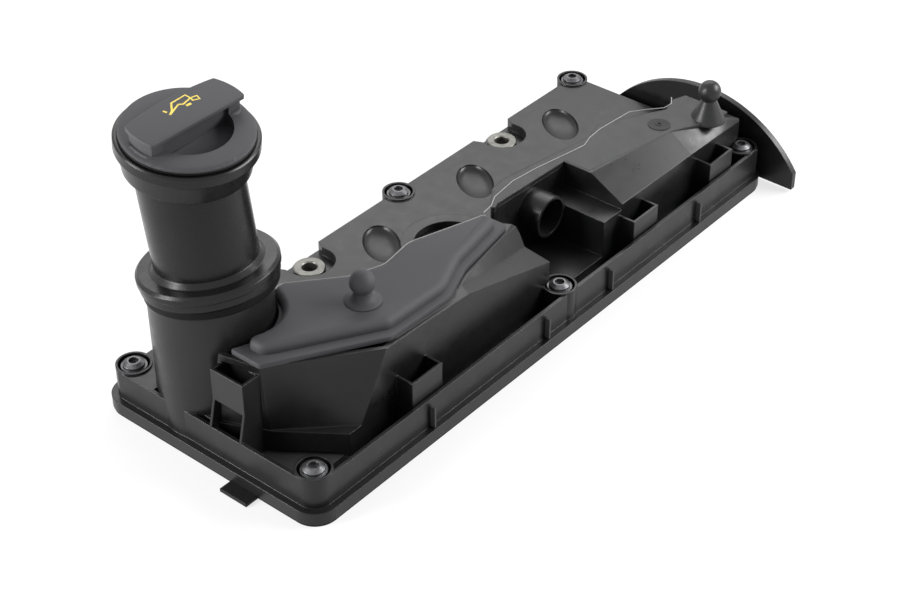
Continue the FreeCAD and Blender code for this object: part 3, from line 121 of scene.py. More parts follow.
# Pieces that close openings of the moulding: the shoulder beside the near lid, counted from the lid's
# flange, and the channel's floor, with heights in the frame
SHOULDER = ((84, 19.6, 1), (134, 19.6, 8), (146, 29, 3), (120, 36, 3), (88, 30, 3))
SHOULDER_RINGS = ((0, -0.016), (0, -0.0035), (0.8, -0.0028))  # inset, height
CHANNEL = ((7, 7, 9), (78, 7, 1), (78, 24, 1), (60, 30, 1), (30, 60, 1), (7, 60, 1))
CHANNEL_HEIGHTS = (0.0105, 0.0119)

CIRCLE = [math.tau * turn / 48 for turn in range(48)]
SMOOTH_BELOW = math.radians(32)  # faces that meet at less look smooth

# Bodies that cut the cap reach well past it, and bodies that meet overlap, all in metres
CUT_REACH, CUT_TOP, CUT_HALF = 0.05, 0.03, 0.02
OVERLAP = 0.001
GRIP_ROOT = 0.0015  # depth of the new grip's root in the disc
DISC_SKIN = 0.00001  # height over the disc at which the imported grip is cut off

# Feature sizes of the surface noises in metres, and the colour of the specks
CLOUD, PATCH, WORN, SPECK = 0.035, 0.02, 0.009, 0.0013
DUST = (0.22, 0.21, 0.20)

FLOOR_WIDE = 6.0
FLOOR_DROP = 0.0002  # keeps the floor just below the cover


def colour(name, value, text):
    """Declare one colour property."""
    return FloatVectorProperty(
        name=name, description=text, default=value, subtype="COLOR", size=3, min=0.0, max=1.0
    )


def length(name, value, text):
    """Declare one length property in metres."""
    return FloatProperty(name=name, description=text, default=value, unit="LENGTH", precision=5)


class CoverFinish(bpy.types.PropertyGroup):
    """Colours, surface sizes and fine shapes of the cover's pieces."""

    cover: colour("Cover", (0.0078, 0.0078, 0.0082), "Glass-filled plastic of the main moulding")
    lid: colour("Lids", (0.0125, 0.0127, 0.0130), "Plastic of the welded separator lids")
    neck: colour("Neck", (0.0062, 0.0062, 0.0065), "Plastic of the filler neck")
    cap: colour("Cap", (0.0120, 0.0124, 0.0134), "Plastic of the filler cap")
    shield: colour("Shield", (0.0060, 0.0060, 0.0062), "Plastic of the belt shield")
    rubber: colour("Rubber", (0.0035, 0.0035, 0.0035), "Gasket, seals and grommets")
    bolt: colour("Bolts", (0.115, 0.115, 0.120), "Coated steel of the bolts")
    sleeve: colour("Sleeves", (0.16, 0.158, 0.145), "Turned steel of the sleeves and spacers")
    ink: colour("Mark", (0.80, 0.60, 0.075), "Printed mark on the cap's grip")
    # Light grey of the weld beads: partly the beads' own plastic, partly a painted highlight along the
    # lids' back edges
    seam: colour("Seam", (0.24, 0.24, 0.24), "Plastic of the weld beads")
    edge: length("Edge", 0.0007, "Radius to which moulded edges look rounded")
    grain: length("Grain", 0.00045, "Size of the moulded grain")
    lid_border: length("Lid border", 0.0045, "Rounding of the near lid's raised border")
    lid_rise: length("Lid rise", 0.006, "Height of the near lid's raised middle over its flange")
    # The light bead is a weld bead whose light grey is partly a painted edge highlight
    weld: length("Weld bead", 0.0006, "Width of the light bead along the lids' back edges")
    weld_inset: length("Weld inset", 0.0013, "Distance of the near bead inside the middle's outline")
    weld_drop: length("Weld drop", 0.001, "Distance of the near bead below the raised middle's top")
    stud_ball: length("Stud ball", 0.007, "Radius of the near lid's ball stud")
    grip_reach: length("Grip reach", 0.032, "Radius of the grip's round ends")
    grip_front: length("Grip front", 0.0082, "Distance of the grip's front edge from the cap's axis")
    grip_back: length("Grip back", 0.015, "Distance of the back edge's middle from the cap's axis")
    grip_bow: length("Grip bow", 0.158, "Radius of the grip's bowed back edge")
    grip_high: length("Grip height", 0.009, "Height of the grip over the cap's disc")
    grip_low: length("Grip low", 0.0005, "Distance of the grip's top below the packed cap's top")
    grip_lip: length("Grip lip", 0.0036, "Thickness of the overhanging lip")
    grip_overhang: length("Grip overhang", 0.0018, "Distance by which the lip overhangs")
    grip_edge: length("Grip edge", 0.0012, "Rounding of the lip")
    grip_web: length("Grip web", 0.009, "Web between the finger recesses")
    finger_reach: length("Finger reach", 0.0228, "Radius of the finger recesses")
    finger_deep: length("Finger depth", 0.006, "Depth of the finger recesses below the disc")


class CapMark(bpy.types.PropertyGroup):
    """Sizes of the printed oil can on the cap's grip."""

    stroke: length("Stroke", 0.00105, "Width of the printed line")
    ink: length("Ink", 0.00006, "Height of the ink over the grip")


class Studio(bpy.types.PropertyGroup):
    """Camera, lamps and floor."""

    eye: FloatVectorProperty(
        name="Eye", description="Place of the camera", subtype="TRANSLATION", size=3,
        default=(-0.69462, -0.56994, 0.66565),
    )
    heading: FloatProperty(
        name="Heading", description="Camera's turn from +X to +Y", subtype="ANGLE",
        default=math.radians(40.1),
    )
    pitch: FloatProperty(
        name="Pitch", description="Camera's tilt below the horizon", subtype="ANGLE",
        default=math.radians(36.75),
    )
    roll: FloatProperty(
        name="Roll", description="Camera's turn about its own line of sight", subtype="ANGLE",
        default=math.radians(-0.4),
    )
    lens: FloatProperty(name="Lens", description="Focal length in millimetres", default=76.2)
    floor: colour("Floor", (0.93, 0.93, 0.93), "Colour of the floor")
    glow: FloatProperty(
        name="Glow", description="Share of plain white in what is seen of the floor", default=0.72
    )
    key: FloatProperty(
        name="Key", description="Power of the softbox behind the cover in watts", default=8.0
    )
    left: FloatProperty(name="Left", description="Power of the left softbox in watts", default=26.0)
    right: FloatProperty(name="Right", description="Power of the right softbox in watts", default=26.0)
    air: FloatProperty(name="Air", description="Strength of the light all round", default=0.36)


def clear_selection():
    """Leave edit mode with nothing selected."""
    if bpy.context.object and bpy.context.object.mode != "OBJECT":
        bpy.ops.object.mode_set(mode="OBJECT")
    bpy.ops.object.select_all(action="DESELECT")


def activate(*pieces):
    """Select only these pieces and make the first one active."""
    clear_selection()
    for piece in pieces:
        piece.select_set(True)
    bpy.context.view_layer.objects.active = pieces[0]


def finish(name):
    """Start an empty node material and give its nodes, links and shader."""
    material = bpy.data.materials.new(name)
    material.use_nodes = True
    nodes = material.node_tree.nodes
    shader = nodes["Principled BSDF"]
    return material, nodes, material.node_tree.links, shader


def noise(nodes, links, coords, size, detail=2.0, roughness=0.5):
    """Add a noise of one feature size in metres, read in the piece's own coordinates."""
    texture = nodes.new("ShaderNodeTexNoise")
    texture.inputs["Scale"].default_value = 1.0 / size
    texture.inputs["Detail"].default_value = detail
    texture.inputs["Roughness"].default_value = roughness
    links.new(coords.outputs["Object"], texture.inputs["Vector"])
    return texture


def spread(nodes, links, source, low, high, start=0.3, stop=0.7):
    """Map a noise to a range of values."""
    ranged = nodes.new("ShaderNodeMapRange")
    ranged.inputs["From Min"].default_value = start
    ranged.inputs["From Max"].default_value = stop
    ranged.inputs["To Min"].default_value = low
    ranged.inputs["To Max"].default_value = high
    links.new(source, ranged.inputs["Value"])
    return ranged.outputs["Result"]


def mixed(nodes, links, source, dark, light):
    """Mix two colours by a noise."""
    tint = nodes.new("ShaderNodeMix")
    tint.data_type = "RGBA"
    tint.inputs["A"].default_value = [*dark, 1.0]
    tint.inputs["B"].default_value = [*light, 1.0]
    links.new(spread(nodes, links, source, 0.0, 1.0), tint.inputs["Factor"])
    return tint.outputs["Result"]


def shade_of(base, share):
    """Give a colour darkened or lightened by a share."""
    return [share * part for part in base]


def soft_relief(nodes, links, shader, height, edge, strength, depth):
    """Make the edges look rounded and put a fine relief over them."""
    round_edge = nodes.new("ShaderNodeBevel")
    round_edge.samples = 6
    round_edge.inputs["Radius"].default_value = edge
    bump = nodes.new("ShaderNodeBump")
    bump.inputs["Strength"].default_value = strength
    bump.inputs["Distance"].default_value = depth
    links.new(height, bump.inputs["Height"])
    links.new(round_edge.outputs["Normal"], bump.inputs["Normal"])
    links.new(bump.outputs["Normal"], shader.inputs["Normal"])


def moulded(name, base, gloss, grain, edge, relief=0.06, dust=0.25, gleam=0.3):
    """Make a moulded plastic: fine grain, cloudy sheen, soft edges and a few light specks."""
    material, nodes, links, shader = finish(name)
    coords = nodes.new("ShaderNodeTexCoord")

    cloud = noise(nodes, links, coords, CLOUD, detail=4.0)
    tint = mixed(nodes, links, cloud.outputs["Fac"], shade_of(base, 0.78), shade_of(base, 1.28))

    speck = noise(nodes, links, coords, SPECK, detail=3.0, roughness=0.7)
    patch = noise(nodes, links, coords, PATCH, detail=1.0)
    here = nodes.new("ShaderNodeMath")
    here.operation = "MULTIPLY"
    links.new(spread(nodes, links, speck.outputs["Fac"], 0.0, dust, 0.74, 0.80), here.inputs[0])
    links.new(spread(nodes, links, patch.outputs["Fac"], 0.0, 1.0, 0.5, 0.62), here.inputs[1])
    dusty = nodes.new("ShaderNodeMix")
    dusty.data_type = "RGBA"
    dusty.inputs["B"].default_value = [*DUST, 1.0]
    links.new(here.outputs["Value"], dusty.inputs["Factor"])
    links.new(tint, dusty.inputs["A"])
    links.new(dusty.outputs["Result"], shader.inputs["Base Color"])

    worn = noise(nodes, links, coords, WORN, detail=5.0, roughness=0.6)
    sheen = spread(nodes, links, worn.outputs["Fac"], gloss - 0.05, gloss + 0.07)
    links.new(sheen, shader.inputs["Roughness"])

    fine = noise(nodes, links, coords, grain)
    soft_relief(nodes, links, shader, fine.outputs["Fac"], edge, relief, 0.0002)
    shader.inputs["Specular IOR Level"].default_value = gleam
    return material


def steel(name, base, gloss, metallic, edge, turned):
    """Make a steel with cloudy coating and fine turning marks along its height."""
    material, nodes, links, shader = finish(name)
    coords = nodes.new("ShaderNodeTexCoord")
    cloud = noise(nodes, links, coords, 0.004, detail=4.0, roughness=0.65)
    tint = mixed(nodes, links, cloud.outputs["Fac"], shade_of(base, 0.6), shade_of(base, 1.3))
    links.new(tint, shader.inputs["Base Color"])
    sheen = spread(nodes, links, cloud.outputs["Fac"], gloss - 0.08, gloss + 0.1)
    links.new(sheen, shader.inputs["Roughness"])
    shader.inputs["Metallic"].default_value = metallic

    marks = nodes.new("ShaderNodeTexNoise")
    marks.inputs["Scale"].default_value = 2500.0
    squeeze = nodes.new("ShaderNodeMapping")
    squeeze.inputs["Scale"].default_value = (0.1, 0.1, 1.0)
    links.new(coords.outputs["Object"], squeeze.inputs["Vector"])
    links.new(squeeze.outputs["Vector"], marks.inputs["Vector"])
    soft_relief(nodes, links, shader, marks.outputs["Fac"], edge, turned, 0.0001)
    return material


def dress(material, *names):
    """Give CAD nodes one finish, by whole names or by starts that end in an underscore."""
    for name, piece in NODES.items():
        if name in names or any(name.startswith(part) for part in names if part.endswith("_")):
            piece.data.materials.clear()
            piece.data.materials.append(material)


def stand_in(node, name, body):
    """Weld a copy of a CAD node into one clean mesh that is shown in its place."""
    piece = bpy.data.objects.new(name, NODES[node].data.copy())
    bpy.context.collection.objects.link(piece)
    activate(piece)
    bpy.ops.object.mode_set(mode="EDIT")
    bpy.ops.mesh.select_all(action="SELECT")
    bpy.ops.mesh.remove_doubles(threshold=0.00001)
    bpy.ops.mesh.dissolve_limited(angle_limit=math.radians(0.5))
    bpy.ops.mesh.select_all(action="DESELECT")
    bpy.ops.object.mode_set(mode="OBJECT")
    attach(piece, body)
    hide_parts(node)
    return piece


def rounded(corners, inset=0.0):
    """Give the points of a plan with rounded corners, moved inwards by an inset, in millimetres."""
    count = len(corners)
    spots = [Vector(corner[:2]) for corner in corners]
    ways = [(spots[(at + 1) % count] - spots[at]).normalized() for at in range(count)]
    points = []
    for at, spot in enumerate(spots):
        back, ahead = ways[at - 1], ways[at]
        turn = math.atan2(back.cross(ahead), back.dot(ahead))
        side = 1 if turn > 0 else -1
        radius = max(corners[at][2] - side * inset, LEAST_RADIUS)
        left, left_ahead = Vector((-back.y, back.x)), Vector((-ahead.y, ahead.x))
        corner = spot + (left + left_ahead) * inset / (1 + left.dot(left_ahead))
        start = corner - back * radius * math.tan(abs(turn) / 2)
        centre = start + left * radius * side
        for step in range(ARC_STEPS + 1):
            points.append(centre + (Matrix.Rotation(turn * step / ARC_STEPS, 2) @ (start - centre)))
    return points


def spot_at(point, up):
    """Place a plan point in the frame at a height, in metres."""
    return ((point[0] - MIDDLE[0]) / 1000, (point[1] - MIDDLE[1]) / 1000, up)


def lid_spot(point, up):
    """Place a plan point in the frame at a height over the lids' sloping flange, in metres."""
    return spot_at(point, (LID_LEVEL - LID_SLOPE * point[0]) / 1000 + up)


def loft(name, rings):
    """Skin closed rings of equal length, from the lowest to the top one, into one body."""
    count = len(rings[0])
    faces = [tuple(reversed(range(count))), tuple(range(count * (len(rings) - 1), count * len(rings)))]
    for low in range(len(rings) - 1):
        for at in range(count):
            here, there = low * count + at, low * count + (at + 1) % count
            faces.append((here, there, there + count, here + count))
    mesh = bpy.data.meshes.new(name)
    mesh.from_pydata([spot for ring in rings for spot in ring], [], faces)
    piece = bpy.data.objects.new(name, mesh)
    bpy.context.collection.objects.link(piece)
    return piece


def joined(pieces, name):
    """Join bodies into the first one, under one name."""
    activate(*pieces)
    bpy.ops.object.join()
    pieces[0].name = name
    return pieces[0]


def smooth(piece, material):
    """Give a finished body its smooth shading and one finish."""
    activate(piece)
    bpy.ops.object.shade_smooth_by_angle(angle=SMOOTH_BELOW)
    piece.data.materials.clear()
    piece.data.materials.append(bpy.data.materials[material])


class ShapeLid(bpy.types.Operator):
    """Shape the near lid with its broad soft border, swept front edge, flared stud and weld bead, in a
    light grey that is partly a painted highlight along its back edge
    """

    bl_idname = "valve_cover.shape_lid"
    bl_label = "Shape lid"

    def execute(self, context):
        look = context.scene.cover_finish
        border, rise = look.lid_border, look.lid_rise
        foot = rise - border
        rings = [[lid_spot(point, -OVERLAP) for point in rounded(LID_MIDDLE)]]
        for step in range(BORDER_STEPS + 1):
            angle = math.radians(90 * step / BORDER_STEPS)
            inset, up = 1000 * border * (1 - math.cos(angle)), foot + border * math.sin(angle)
            rings.append([lid_spot(point, up) for point in rounded(LID_MIDDLE, inset)])
        raised = loft("raised", rings)
        flange = loft("flange", [
            [lid_spot(point, up) for point in rounded(LID_FLANGE, inset)]
            for inset, up in FLANGE_RINGS
        ])

        ball = look.stud_ball
        centre = Vector(lid_spot(STUD, STUD_HEIGHT))
        profile = list(STUD_FOOT)
        reach = math.asin(STUD_WAIST / ball)
        for step in range(BALL_STEPS):
            angle = reach + (math.pi - reach) * step / BALL_STEPS
            profile.append((ball * math.sin(angle), -ball * math.cos(angle)))
        stud = loft("stud", [
            [
                (centre.x + radius * math.cos(turn), centre.y + radius * math.sin(turn), centre.z + up)
                for turn in CIRCLE
            ]
            for radius, up in profile
        ])
        middle = joined((raised, flange, stud), "near_lid_moulding")
        smooth(middle, "lid_plastic")
        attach(middle, "cover")
        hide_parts("near_separator_lid")

        # Weld bead along the middle's back edge, in a light grey that is partly a painted edge highlight
        edge = rounded(LID_MIDDLE, look.weld_inset * 1000)[LID_BACK]
        bead = stroke([lid_spot(point, rise - look.weld_drop) for point in edge], look.weld)
        bead.name = "near_bead_and_highlight"
        shader = finish("bead_highlight_plastic")[-1]
        shader.inputs["Base Color"].default_value = [*look.seam, 1.0]
        shader.inputs["Roughness"].default_value = 0.6
        smooth(bead, "bead_highlight_plastic")
        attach(bead, "cover")
        return {"FINISHED"}


class CloseMoulding(bpy.types.Operator):
    """Close the shoulder beside the near lid and the channel's floor in the near front corner"""

    bl_idname = "valve_cover.close_moulding"
    bl_label = "Close moulding"

    def execute(self, context):
        shoulder = loft("near_shoulder", [
            [lid_spot(point, up) for point in rounded(SHOULDER, inset)]
            for inset, up in SHOULDER_RINGS
        ])
        channel = loft("channel_floor", [
            [spot_at(point, up) for point in rounded(CHANNEL)] for up in CHANNEL_HEIGHTS
        ])
        for piece in (shoulder, channel):
            smooth(piece, "cover_plastic")
            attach(piece, "cover")
        return {"FINISHED"}


def cut_away(piece, tool, how="DIFFERENCE"):
    """Combine a piece with a tool body that is used up."""
    activate(piece)
    step = piece.modifiers.new("cut", "BOOLEAN")
    step.operation = how
    step.solver = "EXACT"
    step.object = tool
    bpy.ops.object.modifier_apply(modifier=step.name)
    bpy.data.objects.remove(tool, do_unlink=True)


def drum(radius, low, high, along=0.0, sides=96):
    """Add an upright cylinder between two heights, centred across."""
    clear_selection()
    bpy.ops.mesh.primitive_cylinder_add(
        vertices=sides, radius=radius, depth=high - low, location=(0, along, (low + high) / 2)
    )
    bpy.ops.object.transform_apply(location=True, rotation=True, scale=True)
    return bpy.context.object


def slab(wide, near, far, low, high):
    """Add a block centred across, between two distances along and two heights."""
    clear_selection()
    bpy.ops.mesh.primitive_cube_add(size=1, location=(0, (near + far) / 2, (low + high) / 2))
    block = bpy.context.object
    block.scale = (wide, far - near, high - low)
    bpy.ops.object.transform_apply(location=True, rotation=True, scale=True)
    return block


def grip_body(look, inset, low, high):
    """Shape the grip's plan between two heights: round ends, straight front and bowed back."""
    body = drum(look.grip_reach - inset, low, high)
    under, over = low - OVERLAP, high + OVERLAP
    bow = drum(look.grip_bow - inset, under, over, look.grip_back - look.grip_bow, sides=720)
    cut_away(body, bow, "INTERSECT")
    cut_away(body, slab(2 * CUT_REACH, inset - look.grip_front, CUT_REACH, under, over), "INTERSECT")
    return body


def cap_seat(drop):
    """Give the placement of the top of the cap's grip, lowered along the cap's axis."""
    axis = Vector(CAP_JOINT["axis"]).normalized()
    centre = Vector(CAP_JOINT["pos_m"])
    top = max((spot.co - centre).dot(axis) for spot in NODES["filler_cap"].data.vertices)
    across = Vector((1, 0, 0))
    turn = Matrix((across, axis.cross(across), axis)).transposed().to_4x4()
    return Matrix.Translation(centre + axis * (top - drop)) @ turn


def place(piece, seat):
    """Move a finished body to its place and leave its object unturned at the origin."""
    activate(piece)
    piece.matrix_world = seat
    bpy.ops.object.transform_apply(location=True, rotation=True, scale=True)


class AddTrim(bpy.types.Operator):
    """Add the far lid's weld bead, in a light grey that is partly a painted edge highlight, and its
    plug, and the ribs on the fence
    """

    bl_idname = "valve_cover.add_trim"
    bl_label = "Add trim"

    def execute(self, context):
        look = context.scene.cover_finish
        # Weld bead along the far lid's back edge, in a light grey that is partly a painted edge
        # highlight
        bead = stroke([lid_spot(spot, 0.0001) for spot in FAR_SEAM], look.weld)
        bead.name = "far_bead_and_highlight"
        plug = loft("far_lid_plug", [
            [
                lid_spot((PLUG[0] + reach * math.cos(turn), PLUG[1] + reach * math.sin(turn)), up)
                for turn in CIRCLE
            ]
            for reach, up in PLUG_RINGS
        ])
        ribs = []
        front, back = RIB_REACH
        for across in FENCE_RIBS:
            left, right = across - RIB_HALF, across + RIB_HALF
            corners = ((left, front), (right, front), (right, back), (left, back))
            plan = rounded([(*corner, RIB_CORNER) for corner in corners])
            rings = [[spot_at(point, up) for point in plan] for up in RIB_HEIGHTS]
            ribs.append(loft("fence_rib", rings))
        for piece, material, slot in (
            (bead, "bead_highlight_plastic", "lid_plastic"),
            (plug, "rubber", "rubber"),
            (joined(ribs, "fence_ribs"), "cover_plastic", "cover_plastic"),
        ):
            smooth(piece, material)
            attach(piece, "cover")
        return {"FINISHED"}


class ShapeGrip(bpy.types.Operator):
    """Give the cap its overhanging grip with sharp corners and its round finger recesses"""

    bl_idname = "valve_cover.shape_grip"
    bl_label = "Shape grip"

    def execute(self, context):
        look = context.scene.cover_finish
        seat = cap_seat(look.grip_high)
        cap = stand_in("filler_cap", "filler_cap_moulding", "cap")
        cap.data.transform(seat.inverted())
        cut_away(cap, drum(CUT_REACH, DISC_SKIN, CUT_TOP))
        lip_under = look.grip_high - look.grip_lip
        foot = grip_body(look, look.grip_overhang, -GRIP_ROOT, lip_under + OVERLAP)
        cut_away(cap, foot, "UNION")
        half = look.grip_web / 2
        for near, far in ((-CUT_REACH, -half), (half, CUT_REACH)):
            hole = drum(look.finger_reach, -look.finger_deep, lip_under)
            cut_away(hole, slab(2 * CUT_REACH, near, far, -CUT_HALF, CUT_HALF), "INTERSECT")
            cut_away(cap, hole)
        lip = grip_body(look, 0.0, lip_under, look.grip_high - look.grip_low)
        activate(lip)
        soft = lip.modifiers.new("soft", "BEVEL")
        soft.width = look.grip_edge
        soft.segments = 4
        soft.limit_method = "ANGLE"
        soft.angle_limit = math.radians(35)
        bpy.ops.object.modifier_apply(modifier=soft.name)
        cut_away(cap, lip, "UNION")
        cap.data.transform(seat)
        smooth(cap, "cap_plastic")
        return {"FINISHED"}


class FinishMouldings(bpy.types.Operator):
    """Give the plastic mouldings their grain, sheen and soft edges"""

    bl_idname = "valve_cover.finish_mouldings"
    bl_label = "Finish mouldings"

    def execute(self, context):
        look = context.scene.cover_finish
        grain, edge = look.grain, look.edge
        dress(moulded("cover_plastic", look.cover, 0.31, grain, edge), "cover_moulding")
        dress(
            moulded("lid_plastic", look.lid, 0.37, grain, 2 * edge, relief=0.08, dust=0.1),
            "near_separator_lid", "far_separator_lid", "regulator_cap",
        )
        dress(
            moulded("neck_plastic", look.neck, 0.25, grain, edge, relief=0.03, dust=0.6, gleam=0.27),
            "filler_neck",
        )
        dress(
            moulded("cap_plastic", look.cap, 0.38, grain, 1.5 * edge, relief=0.1, dust=0.05),
            "filler_cap",
        )
        dress(moulded("shield_plastic", look.shield, 0.32, grain, edge), "belt_shield")
        dress(
            moulded("baffle_plastic", look.cover, 0.5, grain, edge),
            "near_baffle_plate", "far_baffle_plate",
        )
        return {"FINISHED"}


class FinishRubber(bpy.types.Operator):
    """Give the gasket, seals and grommets a dull rubber"""

    bl_idname = "valve_cover.finish_rubber"
    bl_label = "Finish rubber"

    def execute(self, context):
        look = context.scene.cover_finish
        rubber = moulded(
            "rubber", look.rubber, 0.55, look.grain, 1.6 * look.edge,
            relief=0.05, dust=0.35, gleam=0.25,
        )
        dress(rubber, "perimeter_gasket", "regulator_membrane", "bolt_grommet_")
        sealing = moulded("seal_rubber", look.rubber, 0.5, look.grain, look.edge, dust=0.05, gleam=0.1)
        dress(sealing, "neck_seal", "cap_seal")
        return {"FINISHED"}


class FinishSteel(bpy.types.Operator):
    """Give the bolts, spacers and sleeves their steels"""

    bl_idname = "valve_cover.finish_steel"
    bl_label = "Finish steel"

    def execute(self, context):
        look = context.scene.cover_finish
        coated = steel("bolt_steel", look.bolt, 0.36, 0.85, 0.6 * look.edge, 0.1)
        turned = steel("sleeve_steel", look.sleeve, 0.42, 0.9, 0.6 * look.edge, 0.2)
        dress(turned, "compression_sleeve_", "bolt_spacer_")
        dress(coated, *("bolt_%d" % (index + 1) for index in range(6)))
        return {"FINISHED"}


def stroke(points, width, closed=False):
    """Draw one round line through points given in metres, as a mesh."""
    clear_selection()
    bpy.ops.curve.primitive_bezier_curve_add(location=(0, 0, 0))
    line = bpy.context.object
    line.data.splines.clear()
    path = line.data.splines.new("POLY")
    path.points.add(len(points) - 1)
    for spot, (across, along, up) in zip(path.points, points):
        spot.co = (across, along, up, 1)
    path.use_cyclic_u = closed
    line.data.dimensions = "3D"
    line.data.bevel_depth = width / 2
    line.data.bevel_resolution = 3
    line.data.use_fill_caps = True
    bpy.ops.object.convert(target="MESH")
    return bpy.context.object


class PrintMark(bpy.types.Operator):
    """Print the oil can on the grip of the filler cap"""

    bl_idname = "valve_cover.print_mark"
    bl_label = "Print mark"

    def execute(self, context):
        mark = context.scene.cap_mark
        back, shoulder, neck_end = (-0.6, 10.5), (9.0, 10.8), (9.2, 7.4)
        belly, bend, tip = (3.1, 6.0), (1.2, 7.4), (-7.7, 3.9)
        drawing = (
            ([tip, (-4.6, 5.8), back, shoulder, neck_end, belly, bend, tip], 1.0, False),
            ([neck_end, (12.9, 6.7), (12.1, 3.8), (8.7, 5.2)], 1.0, True),
            ([(3.3, 4.1), (6.3, 3.9)], 1.5, False),
            ([(-8.0, 8.4), (-7.5, 6.3)], 1.1, False),
        )
        lines = []
        for points, bold, closed in drawing:
            path = [(across / 1000, along / 1000, 0) for across, along in points]
            lines.append(stroke(path, bold * mark.stroke, closed))
        print_ = joined(lines, "oil_can_mark")

        bpy.ops.object.mode_set(mode="EDIT")
        bpy.ops.mesh.select_all(action="SELECT")
        flat = 2 * mark.ink / mark.stroke
        bpy.ops.transform.resize(value=(1, 1, flat))
        bpy.ops.object.mode_set(mode="OBJECT")
        place(print_, cap_seat(context.scene.cover_finish.grip_low))

        ink, nodes, links, shader = finish("mark_ink")
        coords = nodes.new("ShaderNodeTexCoord")
        wear = noise(nodes, links, coords, 0.0012, detail=3.0)
        base = context.scene.cover_finish.ink
        tint = mixed(nodes, links, wear.outputs["Fac"], shade_of(base, 0.8), base)
        links.new(tint, shader.inputs["Base Color"])
        shader.inputs["Roughness"].default_value = 0.5
        print_.data.materials.clear()
        print_.data.materials.append(ink)
        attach(print_, "cap")
        return {"FINISHED"}


def softbox(name, spot, target, wide, high, power):
    """Hang one rectangular softbox that looks at a point."""
    clear_selection()
    bpy.ops.object.light_add(type="AREA", location=spot)
    lamp = bpy.context.object
    lamp.name = name
    lamp.data.shape = "RECTANGLE"
    lamp.data.size = wide
    lamp.data.size_y = high
    lamp.data.energy = power
    lamp.rotation_euler = (Vector(target) - Vector(spot)).to_track_quat("-Z", "Y").to_euler()


def direct_ray(nodes, links, path):
    """Tell the rays that look at a surface or the air: camera, glossy and transmission rays."""
    pair = nodes.new("ShaderNodeMath")
    pair.operation = "MAXIMUM"
    links.new(path.outputs["Is Camera Ray"], pair.inputs[0])
    links.new(path.outputs["Is Transmission Ray"], pair.inputs[1])
    either = nodes.new("ShaderNodeMath")
    either.operation = "MAXIMUM"
    links.new(pair.outputs["Value"], either.inputs[0])
    links.new(path.outputs["Is Glossy Ray"], either.inputs[1])
    return either.outputs["Value"]


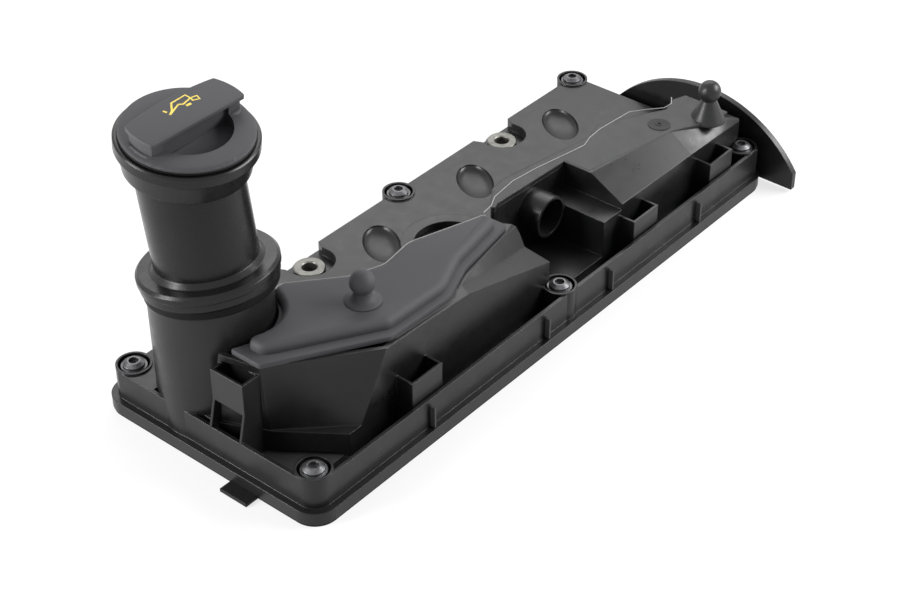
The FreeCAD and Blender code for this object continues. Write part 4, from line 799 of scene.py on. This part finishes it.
class BuildStudio(bpy.types.Operator):
    """Set the floor, the softboxes and the camera round the cover"""

    bl_idname = "valve_cover.build_studio"
    bl_label = "Build studio"

    def execute(self, context):
        scene = context.scene
        studio = scene.studio
        low, high = (Vector(corner) for corner in CAD_BOX)
        middle = (low + high) / 2

        clear_selection()
        under = (middle.x, middle.y, low.z - FLOOR_DROP)
        bpy.ops.mesh.primitive_plane_add(size=FLOOR_WIDE, location=under)
        floor = context.object
        floor.name = "floor"
        paper, nodes, links, shader = finish("floor_paper")
        shader.inputs["Base Color"].default_value = [*studio.floor, 1.0]
        shader.inputs["Roughness"].default_value = 0.9
        shader.inputs["Specular IOR Level"].default_value = 0.0
        white = nodes.new("ShaderNodeEmission")
        path = nodes.new("ShaderNodeLightPath")
        glow = nodes.new("ShaderNodeMath")
        glow.operation = "MULTIPLY"
        glow.inputs[1].default_value = studio.glow
        sheet = nodes.new("ShaderNodeMixShader")
        links.new(direct_ray(nodes, links, path), glow.inputs[0])
        links.new(glow.outputs["Value"], sheet.inputs["Fac"])
        links.new(shader.outputs["BSDF"], sheet.inputs[1])
        links.new(white.outputs["Emission"], sheet.inputs[2])
        links.new(sheet.outputs["Shader"], nodes["Material Output"].inputs["Surface"])
        floor.data.materials.append(paper)

        softbox("back_softbox", (0.75, 0.62, 0.95), middle, 1.2, 0.8, studio.key)
        softbox("left_softbox", (-1.15, 0.65, 0.5), middle, 0.5, 0.9, studio.left)
        softbox("right_softbox", (0.85, -0.85, 0.75), middle, 0.9, 0.6, studio.right)

        world = bpy.data.worlds.new("studio_air")
        world.use_nodes = True
        nodes, links = world.node_tree.nodes, world.node_tree.links
        seen = nodes["Background"]
        seen.inputs["Color"].default_value = (1, 1, 1, 1)
        seen.inputs["Strength"].default_value = 1.0
        air = nodes.new("ShaderNodeBackground")
        air.inputs["Color"].default_value = (1, 1, 1, 1)
        air.inputs["Strength"].default_value = studio.air
        path = nodes.new("ShaderNodeLightPath")
        blend = nodes.new("ShaderNodeMixShader")
        links.new(direct_ray(nodes, links, path), blend.inputs["Fac"])
        links.new(air.outputs["Background"], blend.inputs[1])
        links.new(seen.outputs["Background"], blend.inputs[2])
        links.new(blend.outputs["Shader"], nodes["World Output"].inputs["Surface"])
        scene.world = world

        clear_selection()
        bpy.ops.object.camera_add(location=studio.eye)
        camera = context.object
        camera.name = "photo_camera"
        camera.data.lens = studio.lens
        camera.data.sensor_width = 36.0
        camera.data.clip_start = 0.01
        ahead = Vector((
            math.cos(studio.pitch) * math.cos(studio.heading),
            math.cos(studio.pitch) * math.sin(studio.heading),
            -math.sin(studio.pitch),
        ))
        right = Vector((math.sin(studio.heading), -math.cos(studio.heading), 0))
        up = right.cross(ahead)
        tilted = math.cos(studio.roll) * right + math.sin(studio.roll) * up
        upright = math.cos(studio.roll) * up - math.sin(studio.roll) * right
        camera.rotation_euler = Matrix((tilted, upright, -ahead)).transposed().to_euler()
        scene.camera = camera
        scene.view_settings.view_transform = "Standard"
        return {"FINISHED"}


class ValveCoverPanel(bpy.types.Panel):
    """List the cover's steps in the sidebar"""

    bl_idname = "VIEW3D_PT_valve_cover"
    bl_label = "Valve cover"
    bl_space_type = "VIEW_3D"
    bl_region_type = "UI"
    bl_category = "Valve cover"

    def draw(self, context):
        for group in (context.scene.cover_finish, context.scene.cap_mark, context.scene.studio):
            box = self.layout.box()
            for name in group.bl_rna.properties.keys():
                if name not in {"rna_type", "name"}:
                    box.prop(group, name)
        for step in STEPS:
            self.layout.operator(step.bl_idname)


STEPS = (
    FinishMouldings, FinishRubber, FinishSteel, ShapeLid, CloseMoulding, AddTrim, ShapeGrip, PrintMark,
    BuildStudio,
)
GROUPS = (CoverFinish, CapMark, Studio)


def register():
    for item in (*GROUPS, *STEPS, ValveCoverPanel):
        bpy.utils.register_class(item)
    bpy.types.Scene.cover_finish = PointerProperty(type=CoverFinish)
    bpy.types.Scene.cap_mark = PointerProperty(type=CapMark)
    bpy.types.Scene.studio = PointerProperty(type=Studio)


def unregister():
    del bpy.types.Scene.studio
    del bpy.types.Scene.cap_mark
    del bpy.types.Scene.cover_finish
    for item in reversed((*GROUPS, *STEPS, ValveCoverPanel)):
        bpy.utils.unregister_class(item)


def main():
    """Register the add-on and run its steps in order."""
    register()
    bpy.ops.valve_cover.finish_mouldings()
    bpy.ops.valve_cover.finish_rubber()
    bpy.ops.valve_cover.finish_steel()
    bpy.ops.valve_cover.shape_lid()
    bpy.ops.valve_cover.close_moulding()
    bpy.ops.valve_cover.add_trim()
    bpy.ops.valve_cover.shape_grip()
    bpy.ops.valve_cover.print_mark()
    bpy.ops.valve_cover.build_studio()


if __name__ == "__main__":
    main()
